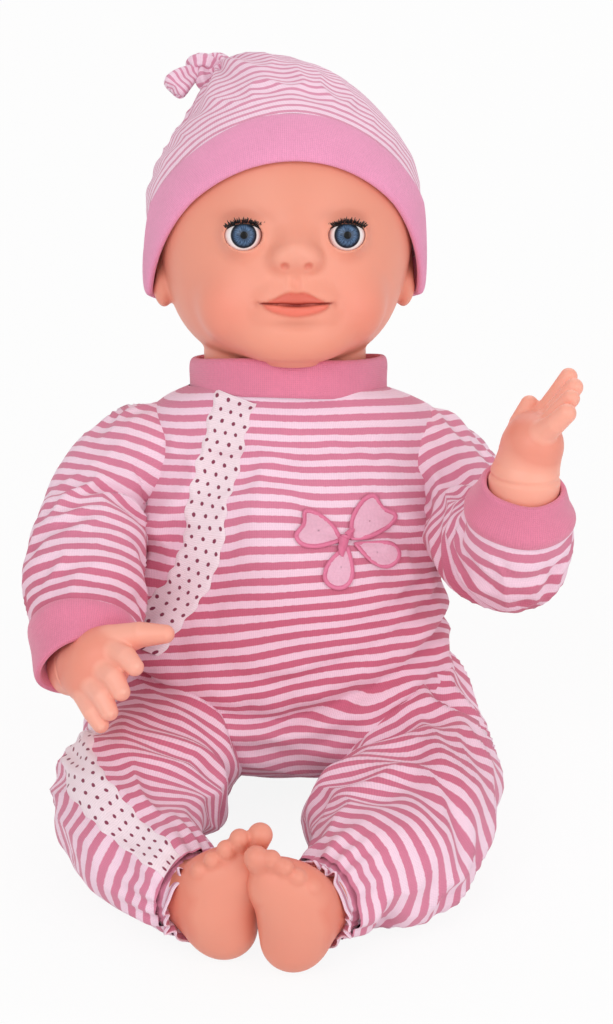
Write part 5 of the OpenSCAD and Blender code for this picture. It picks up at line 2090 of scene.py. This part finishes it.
def hands(wear: Wardrobe) -> list[Limb]:
    """Both hands, posed as in the photograph.

    Args:
        wear: The finishes.

    Returns:
        The right and the left one.
    """
    right = Limb(
        wear,
        "right_vinyl_hand",
        Body.RIGHT_HAND,
        "right_hand",
        palm=(
            ((-83.6, -40.6, 74.5, 10.8), (-78.4, -49.2, 82.0, 11.2), (-73.0, -55.0, 84.5, 11.5)),
            ((-69.5, -55.5, 89.0, 9.5), (-75.0, -58.0, 78.0, 9.2)),
        ),
        digits=(
            ((-66.8, -54.5, 93.6, 6.8), (-55.7, -57.8, 98.4, 5.1), (-45.8, -60.3, 100.0, 3.7)),
            ((-67.4, -58.8, 91.6, 5.6), (-60.9, -66.7, 93.2, 4.5), (-57.2, -72.0, 91.8, 3.6)),
            ((-70.9, -61.4, 86.2, 5.6), (-65.5, -71.0, 86.6, 4.5), (-62.4, -76.2, 83.2, 3.6)),
            ((-74.1, -63.1, 80.6, 5.4), (-69.8, -73.5, 79.6, 4.3), (-67.0, -78.0, 75.4, 3.5)),
            ((-76.5, -64.7, 75.0, 5.0), (-73.5, -73.5, 72.9, 4.1), (-70.6, -76.8, 69.2, 3.3)),
        ),
        crease=((-80.5, -46.5, 79.5), (0.55, -0.7, 0.5)),
        tone=linear(248, 176, 156),
        nails=((-55.9, -75.0, 93.9), (-61.4, -79.4, 84.9), (-66.4, -81.2, 76.2), (-70.2, -79.7, 69.6)),
    )
    left = Limb(
        wear,
        "left_vinyl_hand",
        Body.LEFT_HAND,
        "left_hand",
        palm=(
            ((93.0, -31.0, 139.0, 13.4), (93.4, -30.0, 151.5, 14.0), (95.3, -27.2, 163.0, 11.6)),
            ((97.5, -20.0, 167.0, 8.0), (98.0, -30.5, 168.0, 8.0)),
        ),
        digits=(
            ((90.5, -20.8, 160.6, 6.8), (92.6, -14.4, 168.6, 4.8), (95.8, -10.6, 175.2, 3.6)),
            ((101.1, -13.6, 171.0, 4.8), (107.0, -9.5, 179.4, 3.9), (111.0, -8.0, 185.8, 3.5)),
            ((102.1, -20.6, 172.3, 4.8), (108.2, -19.2, 180.0, 4.0), (112.2, -19.5, 186.2, 3.6)),
            ((101.5, -28.3, 173.4, 4.7), (106.6, -29.0, 181.0, 3.9), (110.2, -30.2, 186.0, 3.5)),
            ((99.5, -34.4, 173.4, 4.9), (103.6, -37.4, 178.2, 4.2), (108.0, -38.6, 183.4, 3.8)),
        ),
        crease=((93.6, -29.0, 153.5), (0.05, 0.1, 1.0)),
        tone=linear(248, 174, 153),
    )
    return [right, left]


# Each foot's sole, ball and ankle as chains of balls, and the tips of its toes from the big one
FEET = {
    Side.LEFT: (
        ((3.8, -143.0, 12.8, 12.0), (4.4, -143.0, 23.0, 13.2), (2.8, -143.0, 33.0, 12.4)),
        ((-2.6, -143.0, 38.6, 9.8), (7.0, -143.0, 33.0, 10.0)),
        ((7.0, -137.0, 21.5, 13.4), (27.0, -115.0, 24.0, 14.4)),
        (
            (-9.8, -146.2, 51.6, 4.6), (-4.2, -147.0, 51.4, 3.6), (0.6, -147.6, 48.4, 3.4),
            (5.4, -147.8, 44.2, 3.2), (10.4, -147.4, 39.4, 3.0),
        ),
    ),
    Side.RIGHT: (
        ((-22.2, -134.0, 13.0, 12.4), (-23.6, -134.0, 24.0, 13.6), (-21.8, -134.0, 33.0, 12.8)),
        ((-15.0, -134.0, 38.0, 10.4), (-26.4, -134.0, 33.0, 10.4)),
        ((-27.0, -129.5, 21.5, 13.8), (-44.0, -114.5, 24.0, 14.6)),
        (
            (-8.4, -135.0, 54.6, 4.7), (-16.0, -137.0, 54.2, 3.8), (-21.0, -138.0, 50.2, 3.6),
            (-26.0, -138.6, 46.0, 3.4), (-31.0, -138.0, 41.0, 3.1),
        ),
    ),
}


def foot(wear: Wardrobe, side: Side) -> Limb:
    """One foot with its sole to the front.

    Args:
        wear: The finishes.
        side: The doll's own side.

    Returns:
        The foot.
    """
    sole, ball, ankle, tips = FEET[side]
    return Limb(
        wear,
        f"{side.word}_vinyl_foot",
        side.body("leg"),
        f"{side.word}_foot",
        palm=(sole, ball, ankle),
        digits=[((x * 0.8 + sole[2][0] * 0.2, y + 4.0, z - 8.0, r), (x, y, z, r)) for x, y, z, r in tips],
        crease=(ankle[1][:3], (0.7 * side.value, 0.71, 0.0)),
        tone=linear(230, 145, 123),
        web=1.5,
        thin=(1.35, sole[0][1]),
    )


@dataclass
class Strip:
    """A band of ribbon laid along a line on a surface."""

    line: Sequence[Row]
    half: float
    scallop: float
    pitch: float = 9.5
    rows: int = 150
    cols: int = 17

    def spread(self) -> tuple[Array, Array, Array, Array]:
        """Lays the strip out flat.

        Returns:
            Both surface coordinates, the height above the surface, and the UV grid in mm.
        """
        line = spline(self.line, self.rows)
        way = unit(np.gradient(line, axis=0))
        s = lengths(line)[:, None]
        w = np.linspace(-1.0, 1.0, self.cols)[None, :]
        phase = TAU * s / self.pitch
        across = w * (self.half + self.scallop * np.sin(phase + np.where(w > 0.0, 1.1, 0.0)))
        p = line[:, 0:1] - across * way[:, 1:2]
        q = line[:, 1:2] + across * way[:, 0:1]
        ruffle = self.scallop * 0.5 * (1.0 + np.sin(phase + 1.6 * w)) * np.abs(w) ** 3
        lift = (0.5 + ruffle) * (1.0 - 0.9 * np.abs(w) ** 16)
        uv = np.stack([w * self.half + 0.0 * s, s + 0.0 * w], axis=-1)
        return p, q, lift, uv


@dataclass
class Trim:
    """Ribbons, the butterfly patch and the closure at the back."""

    wear: Wardrobe
    romper: Romper
    tree: Tree
    ribbon_half: float = 8.1
    scallop: float = 0.55
    # Distance to the doll's left and height above the hip line
    fly_at: tuple[float, float] = (25.5, 71.0)
    front_line: Sequence[Row] = (
        (-19.2, 131.0), (-22.3, 121.3), (-25.0, 110.0), (-29.0, 97.0), (-32.3, 85.0), (-33.7, 73.0),
        (-37.2, 61.6), (-43.3, 49.5), (-49.0, 40.0), (-53.6, 29.0),
    )
    tape_line: Sequence[Row] = ((0.0, 127.0), (0.0, 100.0), (0.0, 72.0), (0.0, 46.0))
    tape_half: float = 9.0
    seam_ends: tuple[float, float] = (47.0, 126.0)
    seam_half: float = 7.8
    seam_pitch: float = 2.3
    seam_stitch: float = 1.5
    edge_stitch: float = 1.7
    # Distance along the leg and angle round it, and the radius at which it is laid flat
    leg_line: Sequence[Row] = (
        (52.0, 5.62), (71.0, 5.58), (92.0, 5.41), (108.0, 5.38), (122.0, 5.34), (136.0, 5.27),
        (152.0, 5.24),
    )
    leg_r: float = 27.0
    hem_turn: float = 5.22
    # Direction in degrees, reach, half width and notch of each wing
    wings: Sequence[Row] = (
        (157.0, 22.8, 10.8, 3.4), (49.0, 25.0, 10.8, 3.4), (249.0, 19.0, 7.6, 0.0),
        (-20.0, 20.5, 7.2, 0.0),
    )
    body_lean: float = math.radians(66.0)

    def front_ribbon(self) -> None:
        """Builds the ribbon from the collar down to the hip."""
        x, t, lift, uv = Strip(self.front_line, self.ribbon_half, self.scallop).spread()
        obj = grid_object("dotted_front_ribbon", self.romper.front_at(x, t, lift), uv, closed=False)
        dress(obj, self.wear.ribbon, ["front_ribbon"], Body.TORSO)

    def leg_ribbon(self) -> None:
        """Builds the ribbon's lower half, down the outside of the right leg."""
        tube = leg_tube(Side.RIGHT)
        grid = self.romper.leg_grid[Side.RIGHT]
        turns = (*self.leg_line, (tube.along[-1] - 0.5, self.hem_turn))
        line = [(along, self.leg_r * turn) for along, turn in turns]
        along, arc, lift, uv = Strip(line, self.ribbon_half, self.scallop).spread()
        row = np.interp(along, tube.along, np.arange(len(tube.along)))
        col = arc / self.leg_r / TAU * grid.shape[1]
        points = sampled(grid, row, col) + sampled(grid_normals(grid), row, col) * lift[..., None]
        obj = grid_object("dotted_leg_ribbon", points[:, ::-1], uv[:, ::-1], closed=False)
        dress(obj, self.wear.ribbon, ["leg_ribbon"], Body.RIGHT_LEG)

    def closure(self) -> None:
        """Builds the hook-and-loop closure down the back, with its two rows of stitches."""
        x, t, lift, uv = Strip(self.tape_line, self.tape_half, 0.0, rows=80).spread()
        points = self.romper.front_at(-x, t, lift + 0.2, 1)
        obj = grid_object("closure_strip", points, uv, closed=False)
        dress(obj, self.wear.tape, ["back_closure"], Body.TORSO)
        levels = np.arange(*self.seam_ends, self.seam_pitch)
        spots = np.array([(place, level) for place in (-self.seam_half, self.seam_half) for level in levels])
        span = np.full(len(spots), self.seam_stitch)
        self.stitches("closure_stitches", spots, np.array([0.0, 1.0]), span, 1.1, 1)

    def stitches(
        self, name: str, spots: Array, aims: Array, span: Array, lift: float, side: int = -1
    ) -> None:
        """Lays stitches flat on the bodice.

        Args:
            name: Name of the piece.
            spots: Place of each stitch, to the doll's left and above the hip line.
            aims: Direction of each stitch in the same two ways, or one for all.
            span: Length of each stitch.
            lift: Height above the cloth.
            side: -1 for the front and 1 for the back.
        """
        here = self.romper.front_at(*spots.T, lift, side)
        there = self.romper.front_at(*(spots + 0.5 * aims).T, lift, side)
        obj = Rods(self.tree, 0.24, 1.0, 0.04, 5).place(name, here, there - here, span, self.wear.thread)
        dress(obj, self.wear.thread, [], Body.TORSO)

    @staticmethod
    def wing(angle: float, length: float, width: float, notch: float) -> Array:
        """Outline of one wing in mm round the butterfly's middle.

        Args:
            angle: Direction of the wing in degrees.
            length: How far it reaches.
            width: Half its width.
            notch: Depth of the dent in its outer edge.

        Returns:
            Closed row of points.
        """
        s = around(260)
        out = 0.5 - 0.5 * np.cos(s)
        u = 2.2 + (length - 2.2) * out - notch * bell(s, math.pi, 0.42)
        w = width * np.sin(s) * (0.34 + 0.66 * out**0.8)
        a = math.radians(angle)
        return np.stack([u * math.cos(a) - w * math.sin(a), u * math.sin(a) + w * math.cos(a)], axis=-1)

    def butterfly(self) -> None:
        """Builds the patch: four puffed wings, each with a satin-stitched edge, and a stitched body."""
        middle = np.array(self.fly_at)
        f = np.linspace(0.03, 1.0, 16)[:, None, None]
        lift = 0.7 + 0.7 * (1.0 - f[..., 0] ** 2)
        rims, ways = [], []
        for number, (angle, length, width, notch) in enumerate(self.wings):
            rim = self.wing(angle, length, width, notch)
            flat = rim.mean(axis=0) + f * (rim - rim.mean(axis=0))
            points = self.romper.front_at(*np.moveaxis(middle + flat, -1, 0), lift)
            obj = grid_object(f"butterfly_wing_{number}", points, np.concatenate([flat, flat[:, :1]], axis=1))
            dress(obj, self.wear.wing, [] if number else ["butterfly_patch"], Body.TORSO)
            edge = np.roll(rim, -1, axis=0) - np.roll(rim, 1, axis=0)
            rims.append(rim)
            ways.append(np.stack([edge[:, 1], -edge[:, 0]], axis=-1))
        spots = middle + np.concatenate(rims)
        span = np.full(len(spots), self.edge_stitch)
        self.stitches("butterfly_edges", spots, unit(np.concatenate(ways)), span, 0.85)
        s = np.linspace(-6.5, 6.5, 44)
        along = np.array([math.cos(self.body_lean), math.sin(self.body_lean)])
        across = np.array([-along[1], along[0]])
        span = 4.0 * np.sqrt(np.clip(1.0 - (s / 6.9) ** 2, 0.05, 1.0))
        self.stitches("butterfly_body", middle + s[:, None] * along, across, span, 1.5)

    def build(self) -> None:
        """Builds every piece of the trim."""
        self.front_ribbon()
        self.leg_ribbon()
        self.closure()
        self.butterfly()


@dataclass
class Stage:
    """Floor, light and the camera at the photograph's angle, in metres but for the lens."""

    eye: Triple = (0.0088, -1.1509, 0.6606)
    target: Triple = (0.0088, 0.02734, 0.11116)
    lit: Triple = (0.0, 0.0, 0.13)
    lens: float = 111.5
    floor: float = 6.0
    ambient: float = 0.6

    @staticmethod
    def seen_rays(g: Graph) -> Socket:
        """Picks out rays from the camera and those that metal and glass send on.

        Args:
            g: The graph of the floor or the world.

        Returns:
            1 for such rays and 0 for others.
        """
        rays = g.add("ShaderNodeLightPath").outputs
        mirrored = g.math("MAXIMUM", rays["Is Glossy Ray"], rays["Is Transmission Ray"])
        return g.math("MAXIMUM", rays["Is Camera Ray"], mirrored)

    @staticmethod
    def hung(name: str, data: bpy.types.ID, place: Triple, aim: Triple) -> Piece:
        """Links a camera or a lamp that looks at a point.

        Args:
            name: Name of the object.
            data: The camera or the lamp.
            place: Where it stands, in metres.
            aim: Where it looks.

        Returns:
            The object.
        """
        obj = bpy.data.objects.new(name, data)
        bpy.context.scene.collection.objects.link(obj)
        obj.location = place
        obj.rotation_euler = (Vector(aim) - Vector(place)).to_track_quat("-Z", "Y").to_euler()
        return obj

    def camera(self) -> None:
        """Sets the camera."""
        data = bpy.data.cameras.new("camera")
        data.lens = self.lens
        data.sensor_width = 36.0
        bpy.context.scene.camera = self.hung("camera", data, self.eye, self.target)

    def ground(self) -> None:
        """Lays the pale floor, which shows white to the camera and keeps a soft shadow."""
        half = self.floor / MM
        corners = np.array([[-half, -half, 0], [half, -half, 0], [half, half, 0], [-half, half, 0]])
        obj = new_object("floor", corners, [(0, 1, 2, 3)])
        made = bpy.data.materials.new("pale floor")
        made.use_nodes = True
        g = Graph(made.node_tree)
        shader = made.node_tree.nodes["Principled BSDF"]
        shader.inputs["Base Color"].default_value = (0.9, 0.89, 0.89, 1.0)
        shader.inputs["Roughness"].default_value = 0.9
        glow = g.add("ShaderNodeEmission", {"Color": (1.0, 1.0, 1.0, 1.0)})
        seen = g.math("MULTIPLY", self.seen_rays(g), 0.9)
        blend = g.add("ShaderNodeMixShader", {0: seen, 1: shader.outputs[0], 2: glow.outputs[0]})
        g.put(made.node_tree.nodes["Material Output"].inputs[0], blend.outputs[0])
        obj.data.materials.append(made)
        obj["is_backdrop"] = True

    def lights(self) -> None:
        """Hangs the soft lamps and sets the world."""
        lamps = (
            ("key", (-0.8, -1.6, 1.5), 14.2, 1.3),
            ("fill", (1.3, -1.4, 0.9), 11.5, 1.4),
            ("back", (0.3, 1.5, 1.4), 7.0, 1.2),
        )
        for name, place, power, size in lamps:
            data = bpy.data.lights.new(name, "AREA")
            data.energy = power
            data.size = size
            self.hung(name, data, place, self.lit)
        world = bpy.data.worlds.new("studio")
        world.use_nodes = True
        g = Graph(world.node_tree)
        back = world.node_tree.nodes["Background"]
        back.inputs["Color"].default_value = (1.0, 0.99, 0.98, 1.0)
        strength = g.math("MULTIPLY_ADD", self.seen_rays(g), 1.0 - self.ambient, self.ambient)
        g.put(back.inputs["Strength"], strength)
        bpy.context.scene.world = world

    def build(self) -> None:
        """Builds the whole stage."""
        bpy.context.scene.view_settings.view_transform = "Standard"
        self.camera()
        self.ground()
        self.lights()


@dataclass
class ButtonSpring:
    """The cone spring behind the tummy button, which shortens as the button is pressed."""

    wear: Wardrobe
    frame: dict
    wide_r: float = 4.0
    narrow_r: float = 2.0
    wire_r: float = 0.4
    turns: int = 4
    steps: int = 96

    def build(self) -> None:
        """Winds the spring between the ends of its solid, round the button's middle line."""
        joints = self.frame["record"]["behaviour"]["joints"]
        joint = next(row for row in joints if row["name"] == "tummy_button_press")
        way = unit(np.array(joint["axis"]))
        right = np.array([1.0, 0.0, 0.0])
        up = np.cross(way, right)
        spring, button = (
            np.array([v.co for v in self.frame["nodes"][name].data.vertices]) / MM
            for name in ("button_spring", "tummy_button")
        )
        length, far = np.ptp(spring @ way), (spring @ way).max()
        middle = sum(0.5 * ((button @ d).min() + (button @ d).max()) * d for d in (right, up))
        share = np.linspace(0.0, 1.0, self.steps)[:, None]
        turn = TAU * self.turns * share
        r = self.wide_r + (self.narrow_r - self.wide_r) * share
        back = far - self.wire_r - share * (length - 2.0 * self.wire_r)
        path = middle + back * way + r * (np.cos(turn) * right + np.sin(turn) * up)
        wire = np.full(self.steps, self.wire_r)
        wire[[0, -1]] = 0.05
        grid = tube_along(path, wire, 12)
        obj = grid_object("button_coil", grid, ring_uv(grid))
        dress(obj, self.wear.steel, ["button_spring"], Body.TORSO)
        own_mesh(obj)


def dress_inner(frame: dict, wear: Wardrobe) -> None:
    """Gives each solid that stays as it is a finish of its own.

    Args:
        frame: The loaded frame.
        wear: The finishes.
    """
    finishes = {
        "white_plastic": wear.white,
        "dark_plastic": wear.dark,
        "steel": wear.steel,
        "board_green": wear.board,
        "cell_wrap": wear.cells,
        "button_red": wear.button,
        "body_cloth": wear.lining,
        "closure_tape": wear.tape,
    }
    for row in frame["record"]["subparts"]:
        obj = frame["nodes"][row["node"]]
        made = finishes.get(row["material_slot"])
        if made is not None:
            obj.data.materials.clear()
            obj.data.materials.append(made)


def corners(box: tuple[Vector, Vector]) -> list[list[float]]:
    """A box's two corners as plain lists."""
    return [list(box[0]), list(box[1])]


def main() -> None:
    """Builds the doll's pieces in order."""
    logging.basicConfig(level=logging.INFO, format="%(name)s %(message)s")
    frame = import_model()
    solid_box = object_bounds()
    Stage().build()
    wear = Wardrobe()
    romper = Romper(wear)
    romper.build()
    tree = rods_tree()
    head = Head(wear, tree)
    head.build()
    Hat(wear, head).build()
    for limb in (*hands(wear), foot(wear, Side.LEFT), foot(wear, Side.RIGHT)):
        limb.build()
    Trim(wear, romper, tree).build()
    ButtonSpring(wear, frame).build()
    dress_inner(frame, wear)
    {"cad": corners(solid_box), "visual": corners(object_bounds())}


if __name__ == "__main__":
    main()
